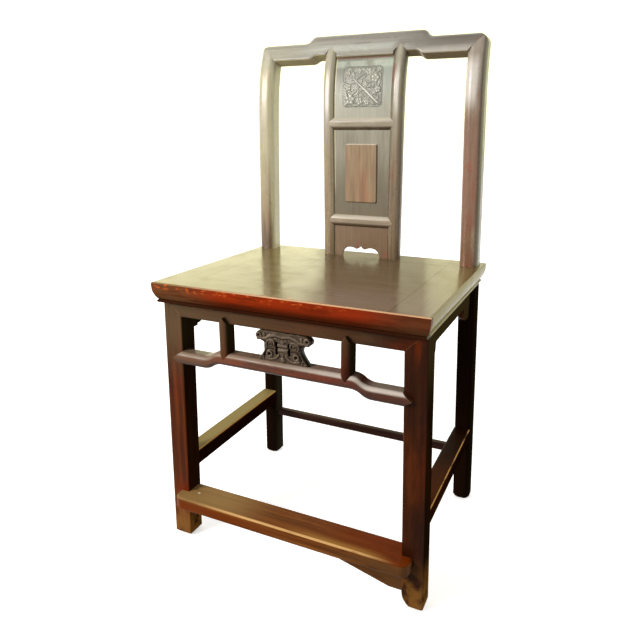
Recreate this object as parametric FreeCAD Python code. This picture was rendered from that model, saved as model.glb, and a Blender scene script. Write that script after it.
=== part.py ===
"""Side chair with a framed splat, a humpback front stretcher and a footrest."""
import FreeCAD, Part
import math
import os

from FreeCAD import Vector

os.makedirs("parts", exist_ok=True)

# Seat frame, panel and battens
SEAT_WIDTH = 480.0
SEAT_DEPTH = 395.0
SEAT_HEIGHT = 508.0
SEAT_EDGE = 36.0
SEAT_RAIL = 62.0
EDGE_INSET = 8.0
EDGE_FLAT = 8.0
EDGE_ROUND = 3.0
EDGE_BEAD = 5.0
PANEL_THICKNESS = 14.0
PANEL_TONGUE = 8.0
PANEL_TONGUE_THICKNESS = 6.0
BATTEN_WIDTH = 24.0
BATTEN_HEIGHT = 13.0
BATTEN_TENON = 10.0
CORNER_TENON = 9.0
batten_share = 0.34

# Legs and back posts
FOOT_SPLAY = 8.0
LEG_INSET = 6.8
LEG_WIDTH = 36.5
LEG_DEPTH = 37.0
LEG_SETBACK = 20.0
LEG_TENON = 9.0
POST_WIDTH = 34.0
POST_DEPTH = 33.0
SEAT_LEDGE = 20.0
REAR_RAKE = 24.0
ARRIS = 3.0
FOOT_CHAMFER = 5.0
WEAR_WIDTH = 20.0
wear_bulge_share = 0.12
post_round_share = 0.36

# Sweep of the back, as shares of its height, its forward bow and its backward lean
BACK_HEIGHT = 417.0
BACK_BOW = 9.0
BACK_LEAN = 17.0
back_curve_shares = (
    (0.35, 0.55, 0.0),
    (0.68, 1.0, 0.0),
    (0.83, 0.5, 0.0),
    (0.96, 0.0, 0.65),
    (1.04, 0.0, 1.35),
)

# Crest rail
CREST_END = 34.0
CREST_RISE = 13.0
CREST_UNDER_RISE = 7.0
CREST_LIP = 5.5
CREST_STEP = 24.0
CREST_UNDER_STEP = 19.2
CREST_CORNER = 18.0
crest_round_share = 0.34
crest_tilt_share = 0.28
crest_set_share = 0.25
crest_top_share = 0.425
crest_under_share = 0.395

# Splat frame and panels
SPLAT_WIDTH = 160.0
STILE_WIDTH = 25.0
STILE_DEPTH = 16.0
SPLAT_LAP = 7.0
SPLAT_RAIL = 24.0
SPLAT_TENON = 14.0
SPLAT_PANEL = 5.0
SPLAT_PANEL_SET = 6.0
SPLAT_TONGUE = 5.0
stile_round_share = 0.4
stile_tip_share = 0.55
lower_rail_share = 0.1573
upper_rail_share = 0.6416
TABLET_WIDTH = 64.0
TABLET_HEIGHT = 110.0
TABLET_PROUD = 3.0
TABLET_INLAY = 2.0
TABLET_CORNER = 4.0
TABLET_ROUND = 2.0
CARVING_WIDTH = 78.0
CARVING_HEIGHT = 71.0
CARVING_DEPTH = 2.5
CARVING_CORNER = 8.0
CUTOUT_WIDTH = 79.0
CUTOUT_HEIGHT = 24.0
cutout_shares = (((0.93, 0.42), (0.72, 0.7)), ((0.46, 0.74), (0.26, 0.62)), ((0.08, 0.72), (0.0, 1.0)))

# Front apron rail, humpback stretcher, struts and ornament
APRON_HEIGHT = 26.0
APRON_DEPTH = 22.0
APRON_LAP = 9.0
HUMP_BELOW_SEAT = 146.0
HUMP_HEIGHT = 22.0
HUMP_DEPTH = 28.0
HUMP_RISE = 12.0
HUMP_PROUD = 9.0
HUMP_LAP = 14.0
HUMP_TIP = 15.0
hump_round_share = 0.35
hump_knee_shares = (0.635, 0.485)
STRUT_WIDTH = 17.0
STRUT_DEPTH = 24.0
STRUT_LAP = 14.0
STRUT_TIP = 12.0
strut_share = 0.455
strut_round_share = 0.4
ORNAMENT_WIDTH = 106.0
ORNAMENT_DEPTH = 16.0
ORNAMENT_SET = 3.0
ORNAMENT_TENON = 5.0
scroll_shares = ((0.78, 0.74, 0.22), (0.64, 0.22, 0.24), (0.34, 0.72, 0.27), (0.3, 0.26, 0.26))

# Side and back aprons
SIDE_APRON_HEIGHT = 33.0
SIDE_APRON_THICKNESS = 10.0
SIDE_APRON_SET = 10.0
DROP_LENGTH = 46.0
DROP_HEIGHT = 28.0
DROP_ROUND = 14.0
DROP_STEP = 4.0
APRON_TONGUE = 6.0
APRON_TONGUE_THICKNESS = 5.0

# Footrest, its bracket and pegs
FOOTREST_TOP = 100.0
FOOTREST_THICKNESS = 25.0
FOOTREST_PROJECTION = 24.0
FOOTREST_INNER = 31.0
FOOTREST_EAR = 18.0
FOOTREST_CORNER = 15.0
FOOTREST_ROUND = 4.0
BRACKET_LENGTH = 125.0
BRACKET_DROP = 47.0
BRACKET_FLAT = 22.0
BRACKET_EDGE = 20.0
BRACKET_THICKNESS = 12.0
BRACKET_SET = 5.0
PEG_DIAMETER = 5.0
PEG_LENGTH = 12.0
PEG_INSET = 20.0
PEG_BACK = 4.0
PEG_PROUD = 0.6

# Side and back stretchers
SIDE_STRETCHER_TOP = 170.0
SIDE_STRETCHER_HEIGHT = 31.0
SIDE_STRETCHER_WIDTH = 32.0
SIDE_STRETCHER_SET = 1.5
BACK_STRETCHER_TOP = 118.0
BACK_STRETCHER_HEIGHT = 16.0
BACK_STRETCHER_DEPTH = 15.0

# Joints
TENON = 16.0
CLEARANCE = 0.2
OVERRUN = 30.0
tenon_share = 0.5

# Places that follow from the sizes
half_seat = SEAT_WIDTH / 2
seat_front = -SEAT_DEPTH / 2
seat_back = SEAT_DEPTH / 2
under_seat = SEAT_HEIGHT - SEAT_EDGE
half_spread = half_seat + FOOT_SPLAY
lean = (half_spread - half_seat + LEG_INSET) / under_seat
leg_front = seat_front + LEG_SETBACK
leg_back = leg_front + LEG_DEPTH
post_front = seat_back - SEAT_LEDGE - POST_DEPTH
back_top = SEAT_HEIGHT + BACK_HEIGHT
crest_top = back_top - CREST_RISE
crest_bottom = crest_top - CREST_END
crest_under = crest_bottom + CREST_UNDER_RISE
crest_lip = crest_under - CREST_LIP
crest_front = post_front + BACK_LEAN * crest_set_share
half_splat = SPLAT_WIDTH / 2
splat_inner = half_splat - STILE_WIDTH
splat_opening = crest_under - SEAT_HEIGHT
lower_rail_z = SEAT_HEIGHT + splat_opening * lower_rail_share
upper_rail_z = SEAT_HEIGHT + splat_opening * upper_rail_share + SPLAT_RAIL
apron_bottom = under_seat - APRON_HEIGHT
hump_low = SEAT_HEIGHT - HUMP_BELOW_SEAT
hump_top = hump_low + HUMP_RISE + HUMP_HEIGHT
hump_front = leg_front - HUMP_PROUD
side_apron_bottom = under_seat - SIDE_APRON_HEIGHT
footrest_bottom = FOOTREST_TOP - FOOTREST_THICKNESS
footrest_front = leg_front - FOOTREST_PROJECTION
footrest_back = leg_front + FOOTREST_INNER
bracket_low = footrest_bottom - BRACKET_DROP
reach = SEAT_WIDTH

UP = Vector(0, 0, 1)
DOWN = Vector(0, 0, -1)
FRONT = Vector(0, -1, 0)
BACK = Vector(0, 1, 0)
LEFT = Vector(-1, 0, 0)
RIGHT = Vector(1, 0, 0)
ORIGIN = Vector(0, 0, 0)


# Small builders
def in_xz(x, z):
    return Vector(x, 0, z)


def in_yz(y, z):
    return Vector(0, y, z)


def in_xy(x, y):
    return Vector(x, y, 0)


def outline(path, place):
    """A face from points; a step of two points is an arc through the first to the second."""
    edges = []
    here = path[0]
    for step in list(path[1:]) + [path[0]]:
        bent = isinstance(step[0], tuple)
        there = step[1] if bent else step
        if bent:
            edges.append(Part.Arc(place(*here), place(*step[0]), place(*there)).toShape())
        elif place(*here).distanceToPoint(place(*there)) > CLEARANCE / 100:
            edges.append(Part.makeLine(place(*here), place(*there)))
        here = there
    return Part.Face(Part.Wire(edges))


def prism_xz(path, y0, y1):
    face = outline(path, in_xz)
    face.translate(Vector(0, y0, 0))
    return face.extrude(Vector(0, y1 - y0, 0))


def prism_yz(path, x0, x1):
    face = outline(path, in_yz)
    face.translate(Vector(x0, 0, 0))
    return face.extrude(Vector(x1 - x0, 0, 0))


def prism_xy(path, z0, z1):
    face = outline(path, in_xy)
    face.translate(Vector(0, 0, z0))
    return face.extrude(Vector(0, 0, z1 - z0))


def box(x0, x1, y0, y1, z0, z1):
    return Part.makeBox(x1 - x0, y1 - y0, z1 - z0, Vector(x0, y0, z0))


def mirrored(shape):
    return shape.mirror(ORIGIN, RIGHT)


def single(shape):
    return max(shape.removeSplitter().Solids, key=lambda solid: solid.Volume)


def ogee(start, end):
    """Two arcs from start to end, level at both ends."""
    run = (end[0] - start[0]) / 2
    rise = (end[1] - start[1]) / 2
    radius = (run * run + rise * rise) / (2 * rise)
    half = math.atan(abs(rise / run))
    along = math.copysign(abs(radius) * math.sin(half), run)
    up = radius * (1 - math.cos(half))
    middle = (start[0] + run, start[1] + rise)
    return [((start[0] + along, start[1] + up), middle), ((end[0] - along, end[1] - up), end)]


def face_normal(face):
    u0, u1, v0, v1 = face.ParameterRange
    return face.normalAt((u0 + u1) / 2, (v0 + v1) / 2)


def rounded(shape, radius, *corners):
    """Rounds the edges between faces that look along each pair of directions."""
    picked = []
    for first, second in corners:
        faces = [face for face in shape.Faces if face_normal(face).dot(first) > math.cos(math.pi / 3.2)]
        others = [face for face in shape.Faces if face_normal(face).dot(second) > math.cos(math.pi / 3.2)]
        for face in faces:
            for edge in face.Edges:
                met = any(edge.isSame(other) for near in others for other in near.Edges)
                if met and not any(edge.isSame(other) for other in picked):
                    picked.append(edge)
    return shape.makeFillet(radius, picked)


# Slanted legs and the sweep of the back
def outer_x(z):
    return half_spread - lean * z


def leg_inner(z):
    return outer_x(z) - LEG_WIDTH


def post_inner(z):
    return outer_x(z) - POST_WIDTH


def rear_front(z):
    """Front face of the rear leg at a height below the seat."""
    return post_front + REAR_RAKE * (1 - z / SEAT_HEIGHT)


def strip(near, far, z0, z1):
    """Points of an upright strip that leans with the legs, between two depths from their outer face."""
    low, high = outer_x(z0), outer_x(z1)
    return [(low - far, z0), (low - near, z0), (high - near, z1), (high - far, z1)]


def back_points():
    points = [in_yz(post_front, SEAT_HEIGHT)]
    for height, bow, back in back_curve_shares:
        y = post_front - bow * BACK_BOW + back * BACK_LEAN
        points.append(in_yz(y, SEAT_HEIGHT + height * BACK_HEIGHT))
    return points


def band(near, far):
    """The space between two depths behind the swept front of the back, over the whole width."""
    curve = Part.BSplineCurve()
    points = back_points()
    slope = in_yz(-REAR_RAKE, SEAT_HEIGHT)
    curve.interpolate(Points=points, InitialTangent=slope, FinalTangent=points[-1] - points[-2])
    foot = in_yz(rear_front(-OVERRUN), -OVERRUN)
    front = [Part.makeLine(foot, points[0]), curve.toShape()]
    back = [edge.copy() for edge in front]
    for edge in front:
        edge.translate(Vector(-reach, near, 0))
    for edge in back:
        edge.translate(Vector(-reach, far, 0))
    shift_near = Vector(-reach, near, 0)
    shift_far = Vector(-reach, far, 0)
    ends = [
        Part.makeLine(foot + shift_near, foot + shift_far),
        Part.makeLine(points[-1] + shift_near, points[-1] + shift_far),
    ]
    wire = Part.Wire(Part.__sortEdges__(front + back + ends))
    return Part.Face(wire).extrude(Vector(2 * reach, 0, 0))


# Seat
def frame_member(length, distance, turn):
    """One mitred member with the moulded edge outside, turned into its place."""
    top = SEAT_HEIGHT
    bead_top = under_seat + EDGE_BEAD
    fall = top - EDGE_FLAT - bead_top
    radius = (EDGE_INSET * EDGE_INSET + fall * fall) / (2 * EDGE_INSET)
    middle = radius - math.sqrt(radius * radius - fall * fall / 4)
    corner = EDGE_ROUND * (1 - math.sqrt(0.5))
    edge = -distance
    profile = [
        (edge + SEAT_RAIL, top),
        (edge + EDGE_ROUND, top),
        ((edge + corner, top - corner), (edge, top - EDGE_ROUND)),
        (edge, top - EDGE_FLAT),
        ((edge + middle, top - EDGE_FLAT - fall / 2), (edge + EDGE_INSET, bead_top)),
        ((edge + EDGE_INSET - EDGE_BEAD / 2, under_seat + EDGE_BEAD / 2), (edge + EDGE_INSET, under_seat)),
        (edge + SEAT_RAIL, under_seat),
    ]
    half = length / 2
    inner = half - SEAT_RAIL
    plan = [(-half, edge), (half, edge), (inner, edge + SEAT_RAIL), (-inner, edge + SEAT_RAIL)]
    member = prism_yz(profile, -half, half).common(prism_xy(plan, under_seat - OVERRUN, top + OVERRUN))
    member.rotate(ORIGIN, UP, turn)
    return member


panel_x = half_seat - SEAT_RAIL
panel_y = seat_back - SEAT_RAIL
panel_under = SEAT_HEIGHT - PANEL_THICKNESS


def seat_panel():
    x = panel_x - CLEARANCE
    y = panel_y - CLEARANCE
    board = box(-x, x, -y, y, panel_under, SEAT_HEIGHT)
    x = panel_x + PANEL_TONGUE - CLEARANCE
    y = panel_y + PANEL_TONGUE - CLEARANCE
    return board.fuse(box(-x, x, -y, y, panel_under, panel_under + PANEL_TONGUE_THICKNESS))


def panel_groove():
    x = panel_x + PANEL_TONGUE
    y = panel_y + PANEL_TONGUE
    return box(-x, x, -y, y, panel_under, panel_under + PANEL_TONGUE_THICKNESS + CLEARANCE)


def batten(gap):
    """The right batten, or with a gap the room it needs in the frame."""
    middle = half_seat * batten_share
    top = panel_under - BATTEN_HEIGHT * (1 - tenon_share) / 2
    side = BATTEN_WIDTH * tenon_share / 2 + gap
    end = panel_y + BATTEN_TENON
    tenon = box(middle - side, middle + side, -end, end, top - BATTEN_HEIGHT * tenon_share - gap, top + gap)
    if gap:
        return tenon
    half = BATTEN_WIDTH / 2
    body = box(middle - half, middle + half, -panel_y, panel_y, panel_under - BATTEN_HEIGHT, panel_under)
    return body.fuse(tenon)


def corner_tenon(gap):
    """Tenon of the front frame member in the right one."""
    y0 = seat_front + SEAT_RAIL * (1 - tenon_share) / 2
    y1 = y0 + SEAT_RAIL * tenon_share
    z0 = under_seat + LEG_TENON + 2 * CLEARANCE
    end = half_seat - SEAT_RAIL * (1 - tenon_share) / 2
    return box(panel_x, end + gap, y0 - gap, y1 + gap, z0 - gap, z0 + CORNER_TENON + gap)


# Legs and posts
def crest_prism(path):
    """A prism from the front to the back that falls with the tilt of the crest rail."""
    face = outline(path, in_xz)
    face.translate(Vector(0, crest_front - OVERRUN, OVERRUN * crest_tilt_share))
    return face.extrude(Vector(0, reach, -reach * crest_tilt_share))


def chamfered_foot(bar):
    foot = [face for face in bar.Faces if face_normal(face).dot(DOWN) > math.cos(math.pi / 4)]
    return bar.makeChamfer(FOOT_CHAMFER, foot[0].Edges)


def front_leg_bar():
    bar = chamfered_foot(prism_xz(strip(0, LEG_WIDTH, 0, under_seat), leg_front, leg_back))
    return rounded(bar, ARRIS, (FRONT, LEFT), (FRONT, RIGHT), (BACK, LEFT), (BACK, RIGHT))


def worn_foot():
    """What wear has taken from the inside of the right front foot, below the bracket."""
    start = (leg_inner(bracket_low), bracket_low)
    end = (leg_inner(0) + WEAR_WIDTH, 0)
    x = (start[0] + end[0]) / 2 - bracket_low * wear_bulge_share
    z = bracket_low / 2 - WEAR_WIDTH * wear_bulge_share
    inside = start[0] - OVERRUN
    path = [start, ((x, z), end), (end[0], -OVERRUN), (inside, -OVERRUN), (inside, bracket_low)]
    return prism_xz(path, leg_front - OVERRUN, leg_back + OVERRUN)


def leg_tenon(gap):
    x = outer_x(under_seat) - LEG_WIDTH / 2
    y = (leg_front + leg_back) / 2
    half_x = LEG_WIDTH * tenon_share / 2 + gap
    half_y = LEG_DEPTH * tenon_share / 2 + gap
    return box(x - half_x, x + half_x, y - half_y, y + half_y, under_seat, under_seat + LEG_TENON + gap)


def post_bar():
    bar = band(0, POST_DEPTH).common(
        prism_xz(strip(0, POST_WIDTH, 0, back_top), seat_front, seat_back + REAR_RAKE + BACK_LEAN + OVERRUN)
    )
    bar = chamfered_foot(single(bar))
    bar = rounded(bar, POST_WIDTH * post_round_share, (FRONT, LEFT), (FRONT, RIGHT))
    return rounded(bar, ARRIS, (BACK, LEFT), (BACK, RIGHT))


def back_corner():
    """Room outside the mitre and the rounded corner between the right post and the crest rail."""
    top = crest_top - POST_DEPTH * crest_tilt_share / 2
    x = outer_x(top)
    corner = CREST_CORNER * (1 - math.sqrt(0.5))
    path = [
        (0, -OVERRUN),
        (outer_x(-OVERRUN), -OVERRUN),
        (outer_x(top - CREST_CORNER), top - CREST_CORNER),
        ((x - corner, top - corner), (x - CREST_CORNER, top)),
        (x - CREST_CORNER, back_top + OVERRUN),
        (0, back_top + OVERRUN),
    ]
    return prism_xz(path, seat_front, reach)


def mitre_side():
    """Everything on the post's side of the mitre at the right corner of the back."""
    low = (post_inner(crest_bottom), crest_bottom)
    high = (outer_x(crest_top), crest_top)
    run = high[0] - low[0]
    rise = high[1] - low[1]
    path = [low, (high[0] + run, high[1] + rise), (reach, -OVERRUN), (0, -OVERRUN), (0, crest_bottom)]
    return crest_prism(path)


def post_tenon(gap):
    drop = POST_DEPTH * crest_tilt_share / 2
    z1 = crest_top - CREST_END * (1 - tenon_share) / 2 - drop
    z0 = crest_top - CREST_END / 2 - drop
    x = outer_x(z0) - POST_WIDTH / 2
    half = POST_WIDTH * tenon_share / 2
    y = post_front + BACK_LEAN / 2 + POST_DEPTH / 2
    return box(x - half - gap, x + half / 2 + gap, y - half / 2 - gap, y + half / 2 + gap, z0, z1 + gap)


# Crest rail
def crest_bar():
    end = half_seat
    t_in = half_seat * crest_top_share
    t_out = t_in + CREST_STEP
    u_in = half_seat * crest_under_share
    u_out = u_in + CREST_UNDER_STEP
    path = [(-end, crest_bottom), (-u_out, crest_bottom)]
    path += ogee((-u_out, crest_bottom), (-u_in, crest_under)) + [(-splat_inner, crest_under)]
    path += [(-splat_inner, crest_lip), (splat_inner, crest_lip)]
    path += [(splat_inner, crest_under), (u_in, crest_under)]
    path += ogee((u_in, crest_under), (u_out, crest_bottom)) + [(end, crest_bottom), (end, crest_top)]
    path += [(t_out, crest_top)] + ogee((t_out, crest_top), (t_in, back_top)) + [(-t_in, back_top)]
    path += ogee((-t_in, back_top), (-t_out, crest_top)) + [(-end, crest_top)]
    bar = single(band(0, POST_DEPTH).common(crest_prism(path)))
    bar = rounded(bar, CREST_END * crest_round_share, (FRONT, UP))
    return rounded(bar, ARRIS, (FRONT, DOWN), (BACK, UP), (BACK, DOWN))


# Splat
def tip(centre, half_width, base, height):
    """A pointed shoulder in the front view."""
    return [(centre - half_width, base), (centre + half_width, base), (centre, base + height)]


stile_x = half_splat - STILE_WIDTH / 2
stile_tip = STILE_WIDTH * stile_tip_share
rail_tip = SPLAT_RAIL / 2


def stile_tip_lap():
    path = tip(stile_x, STILE_WIDTH / 2, crest_under, stile_tip)
    return band(-OVERRUN, SPLAT_LAP).common(crest_prism(path))


def stile_bar():
    path = [
        (splat_inner, SEAT_HEIGHT), (half_splat, SEAT_HEIGHT),
        (half_splat, back_top), (splat_inner, back_top),
    ]
    bar = single(band(0, STILE_DEPTH).common(prism_xz(path, seat_front, reach)))
    bar = rounded(bar, STILE_WIDTH * stile_round_share, (FRONT, LEFT), (FRONT, RIGHT))
    below = crest_prism([(0, -OVERRUN), (reach, -OVERRUN), (reach, crest_under), (0, crest_under)])
    return single(bar.common(below).fuse(bar.common(stile_tip_lap())))


def stile_tenons(gap):
    """Tenons at the foot and the head of the right stile."""
    half = STILE_WIDTH * tenon_share / 2 + gap
    y = post_front + STILE_DEPTH / 2
    x0, x1 = stile_x - half, stile_x + half
    foot = box(x0, x1, y - half, y + half, SEAT_HEIGHT - SPLAT_TENON - gap, SEAT_HEIGHT)
    z0, z1 = crest_under - SPLAT_TENON, crest_under + SPLAT_TENON
    path = [(x0, z0), (x1, z0), (x1, z1), (x0, z1)]
    head = band(SPLAT_LAP + CLEARANCE - gap, STILE_DEPTH - CLEARANCE + gap)
    return foot.fuse(head.common(prism_xz(path, seat_front, reach)))


def rail_lap(base):
    """Pointed end of a splat rail over the right stile."""
    path = [(splat_inner, base), (splat_inner + rail_tip, base + rail_tip), (splat_inner, base + SPLAT_RAIL)]
    return band(-OVERRUN, SPLAT_LAP).common(prism_xz(path, seat_front, reach))


def splat_rail(base):
    end = half_splat
    path = [(-end, base), (end, base), (end, base + SPLAT_RAIL), (-end, base + SPLAT_RAIL)]
    bar = single(band(0, STILE_DEPTH).common(prism_xz(path, seat_front, reach)))
    bar = rounded(bar, SPLAT_RAIL * stile_round_share, (FRONT, UP), (FRONT, DOWN))
    between = box(-splat_inner, splat_inner, seat_front, reach, 0, back_top)
    lap = rail_lap(base)
    return single(bar.common(between).fuse(bar.common(lap)).fuse(bar.common(mirrored(lap))))


def splat_rail_tenon(base, gap):
    z = base + SPLAT_RAIL / 2
    half = SPLAT_RAIL * tenon_share / 2 + gap
    end = splat_inner + STILE_WIDTH * tenon_share + gap
    path = [(-end, z - half), (end, z - half), (end, z + half), (-end, z + half)]
    room = band(SPLAT_PANEL_SET + SPLAT_PANEL + 2 * CLEARANCE - gap, STILE_DEPTH - CLEARANCE + gap)
    return room.common(prism_xz(path, seat_front, reach))


def panel_plate(z0, z1, grow, gap):
    """A panel of the splat with its tongues, or with a gap the grooves it needs."""
    x = splat_inner + grow + gap
    path = [(-x, z0 - grow - gap), (x, z0 - grow - gap), (x, z1 + grow + gap), (-x, z1 + grow + gap)]
    room = band(SPLAT_PANEL_SET, SPLAT_PANEL_SET + SPLAT_PANEL + gap)
    return room.common(prism_xz(path, seat_front, reach))


def cutout():
    """Bracket-shaped opening at the foot of the lower panel."""
    half = CUTOUT_WIDTH / 2
    path = [(0, SEAT_HEIGHT - OVERRUN), (half, SEAT_HEIGHT - OVERRUN), (half, SEAT_HEIGHT)]
    for curve in cutout_shares:
        path.append(tuple((half * x, SEAT_HEIGHT + CUTOUT_HEIGHT * z) for x, z in curve))
    side = prism_xz(path, seat_front, reach)
    return single(side.fuse(mirrored(side)))


def carving_field():
    """The sunk field of the carved panel."""
    z = (upper_rail_z + crest_lip) / 2
    x = CARVING_WIDTH / 2
    h = CARVING_HEIGHT / 2
    path = [(-x, z - h), (x, z - h), (x, z + h), (-x, z + h)]
    field = prism_xz(path, seat_front, reach)
    field = rounded(field, CARVING_CORNER, (LEFT, UP), (LEFT, DOWN), (RIGHT, UP), (RIGHT, DOWN))
    return band(0, SPLAT_PANEL_SET + CARVING_DEPTH).common(field)


def tablet(gap):
    z = (lower_rail_z + SPLAT_RAIL + upper_rail_z - SPLAT_RAIL) / 2
    x = TABLET_WIDTH / 2 + gap
    h = TABLET_HEIGHT / 2 + gap
    path = [(-x, z - h), (x, z - h), (x, z + h), (-x, z + h)]
    block = prism_xz(path, seat_front, reach)
    block = rounded(block, TABLET_CORNER, (LEFT, UP), (LEFT, DOWN), (RIGHT, UP), (RIGHT, DOWN))
    board = single(band(SPLAT_PANEL_SET - TABLET_PROUD, SPLAT_PANEL_SET + TABLET_INLAY).common(block))
    return rounded(board, TABLET_ROUND, (FRONT, UP), (FRONT, DOWN), (FRONT, LEFT), (FRONT, RIGHT))


# Front apron rail, humpback stretcher, struts and ornament
def apron_mitre():
    """Mitred end of the apron rail over the right leg."""
    low = leg_inner(apron_bottom)
    path = [(low, apron_bottom), (low + APRON_HEIGHT, under_seat), (leg_inner(under_seat), under_seat)]
    return prism_xz(path, leg_front, leg_front + APRON_LAP)


def between_legs(z0, z1, y0, y1, inner):
    path = [(-inner(z0), z0), (inner(z0), z0), (inner(z1), z1), (-inner(z1), z1)]
    return prism_xz(path, y0, y1)


def cross_tenon(z0, z1, y0, y1, inner, gap):
    """Tenons of a member across the chair, in both legs."""
    z = (z0 + z1) / 2
    half_z = (z1 - z0) * tenon_share / 2 + gap
    half_y = (y1 - y0) * tenon_share / 2 + gap
    y = (y0 + y1) / 2
    start, end = inner(z) - TENON, inner(z) + TENON + gap
    right = box(start, end, y - half_y, y + half_y, z - half_z, z + half_z)
    return right.fuse(mirrored(right))


def apron_tenon(gap):
    y0, y1 = leg_front + APRON_LAP, leg_front + APRON_DEPTH
    return cross_tenon(apron_bottom, under_seat, y0, y1, leg_inner, gap)


def apron_rail():
    bar = box(-half_seat, half_seat, leg_front, leg_front + APRON_DEPTH, apron_bottom, under_seat)
    bar = rounded(bar, ARRIS, (FRONT, DOWN), (BACK, DOWN))
    body = bar.common(between_legs(apron_bottom, under_seat, leg_front, leg_back, leg_inner))
    mitre = bar.common(apron_mitre())
    return body.fuse(mitre).fuse(bar.common(mirrored(apron_mitre()))).fuse(apron_tenon(0))


def hump_tip():
    """Pointed end of the humpback stretcher over the right leg."""
    high = hump_low + HUMP_HEIGHT
    middle = (hump_low + high) / 2
    path = [(leg_inner(hump_low), hump_low), (leg_inner(middle) + HUMP_TIP, middle), (leg_inner(high), high)]
    return prism_xz(path, hump_front - OVERRUN, hump_front + HUMP_LAP)


def hump_tenon(gap):
    return cross_tenon(
        hump_low, hump_low + HUMP_HEIGHT, hump_front + HUMP_LAP, hump_front + HUMP_DEPTH, leg_inner, gap
    )


def humpback():
    out, into = [half_seat * share for share in hump_knee_shares]
    low = hump_low
    high = hump_low + HUMP_HEIGHT
    path = [(-half_seat, low), (-out, low)] + ogee((-out, low), (-into, low + HUMP_RISE))
    path += [(into, low + HUMP_RISE)] + ogee((into, low + HUMP_RISE), (out, low))
    path += [(half_seat, low), (half_seat, high), (out, high)]
    path += ogee((out, high), (into, hump_top)) + [(-into, hump_top)]
    path += ogee((-into, hump_top), (-out, high)) + [(-half_seat, high)]
    bar = prism_xz(path, hump_front, hump_front + HUMP_DEPTH)
    bar = rounded(bar, HUMP_HEIGHT * hump_round_share, (FRONT, UP), (FRONT, DOWN))
    bar = rounded(bar, ARRIS, (BACK, UP), (BACK, DOWN))
    body = bar.common(between_legs(low - OVERRUN, hump_top + OVERRUN, hump_front, leg_back, leg_inner))
    return body.fuse(bar.common(hump_tip())).fuse(bar.common(mirrored(hump_tip()))).fuse(hump_tenon(0))


strut_x = half_seat * strut_share


def strut_tips():
    top = prism_xz(
        tip(strut_x, STRUT_WIDTH / 2, apron_bottom, STRUT_TIP), hump_front - OVERRUN, hump_front + STRUT_LAP
    )
    foot = prism_xz(
        tip(strut_x, STRUT_WIDTH / 2, hump_top, -STRUT_TIP), hump_front - OVERRUN, hump_front + STRUT_LAP
    )
    return top.fuse(foot)


def strut_tenon(gap):
    half = STRUT_WIDTH * tenon_share / 2 + gap
    y0 = hump_front + STRUT_LAP + CLEARANCE - gap
    y1 = hump_front + STRUT_DEPTH - CLEARANCE + gap
    end = STRUT_WIDTH * tenon_share + gap
    return box(strut_x - half, strut_x + half, y0, y1, hump_top - end, apron_bottom + end)


def strut():
    half = STRUT_WIDTH / 2
    bar = box(
        strut_x - half, strut_x + half, hump_front, hump_front + STRUT_DEPTH, hump_low, under_seat
    )
    bar = rounded(bar, STRUT_WIDTH * strut_round_share, (FRONT, LEFT), (FRONT, RIGHT))
    body = bar.common(box(0, reach, seat_front, reach, hump_top, apron_bottom))
    return body.fuse(bar.common(strut_tips())).fuse(strut_tenon(0))


ornament_y = hump_front + ORNAMENT_SET


def ornament_tenons(gap):
    half = ORNAMENT_WIDTH * tenon_share / 2 + gap
    y1 = ornament_y + ORNAMENT_DEPTH + gap
    y0 = y1 - ORNAMENT_DEPTH * tenon_share - 2 * gap
    end = ORNAMENT_TENON + gap
    return box(-half, half, y0, y1, hump_top - end, apron_bottom + end)


def ornament():
    """Scroll-edged carving as a plate of overlapping rounds with a core."""
    height = apron_bottom - hump_top
    half = ORNAMENT_WIDTH / 2
    y1 = ornament_y + ORNAMENT_DEPTH
    core = half * tenon_share
    shape = box(-core, core, ornament_y, y1, hump_top, apron_bottom)
    for across, up, size in scroll_shares:
        for side in (-1, 1):
            centre = Vector(side * half * across, ornament_y, hump_top + height * up)
            shape = shape.fuse(Part.makeCylinder(height * size, ORNAMENT_DEPTH, centre, BACK))
    inside = box(-half, half, ornament_y, y1, hump_top, apron_bottom)
    return shape.common(inside).fuse(ornament_tenons(0))


# Side and back aprons
apron_outer = outer_x(under_seat) - SIDE_APRON_SET
apron_inner = apron_outer - SIDE_APRON_THICKNESS


def drop_path(start, side):
    """Lower edge of an apron from a leg to its level part: a stepped round drop."""
    low = side_apron_bottom - DROP_HEIGHT
    corner = DROP_ROUND * (1 - math.sqrt(0.5))
    end = start + side * DROP_LENGTH
    step = end - side * (DROP_ROUND + DROP_STEP)
    hollow = DROP_STEP * (1 - math.sqrt(0.5))
    return [
        (step, low),
        (step, low + DROP_STEP),
        (step + side * DROP_STEP, low + DROP_STEP),
        ((end - side * corner, low + DROP_STEP + corner), (end, low + DROP_STEP + DROP_ROUND)),
        (end, side_apron_bottom - DROP_STEP),
        ((end + side * hollow, side_apron_bottom - hollow), (end + side * DROP_STEP, side_apron_bottom)),
    ]


def backwards(path):
    """The same steps walked from the other end."""
    ends = [step[1] if isinstance(step[0], tuple) else step for step in path]
    bends = [step[0] if isinstance(step[0], tuple) else None for step in path]
    walked = [ends[-1]]
    for number in range(len(path) - 1, 0, -1):
        there = ends[number - 1]
        walked.append((bends[number], there) if bends[number] else there)
    return walked


def side_apron():
    low = side_apron_bottom - DROP_HEIGHT
    path = [(leg_back, under_seat), (leg_back, low)] + drop_path(leg_back, 1)
    path += backwards(drop_path(rear_front(low), -1))
    path += [(rear_front(low), low), (rear_front(under_seat), under_seat)]
    return prism_yz(path, apron_inner, apron_outer).fuse(side_apron_tongue(0))


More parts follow.
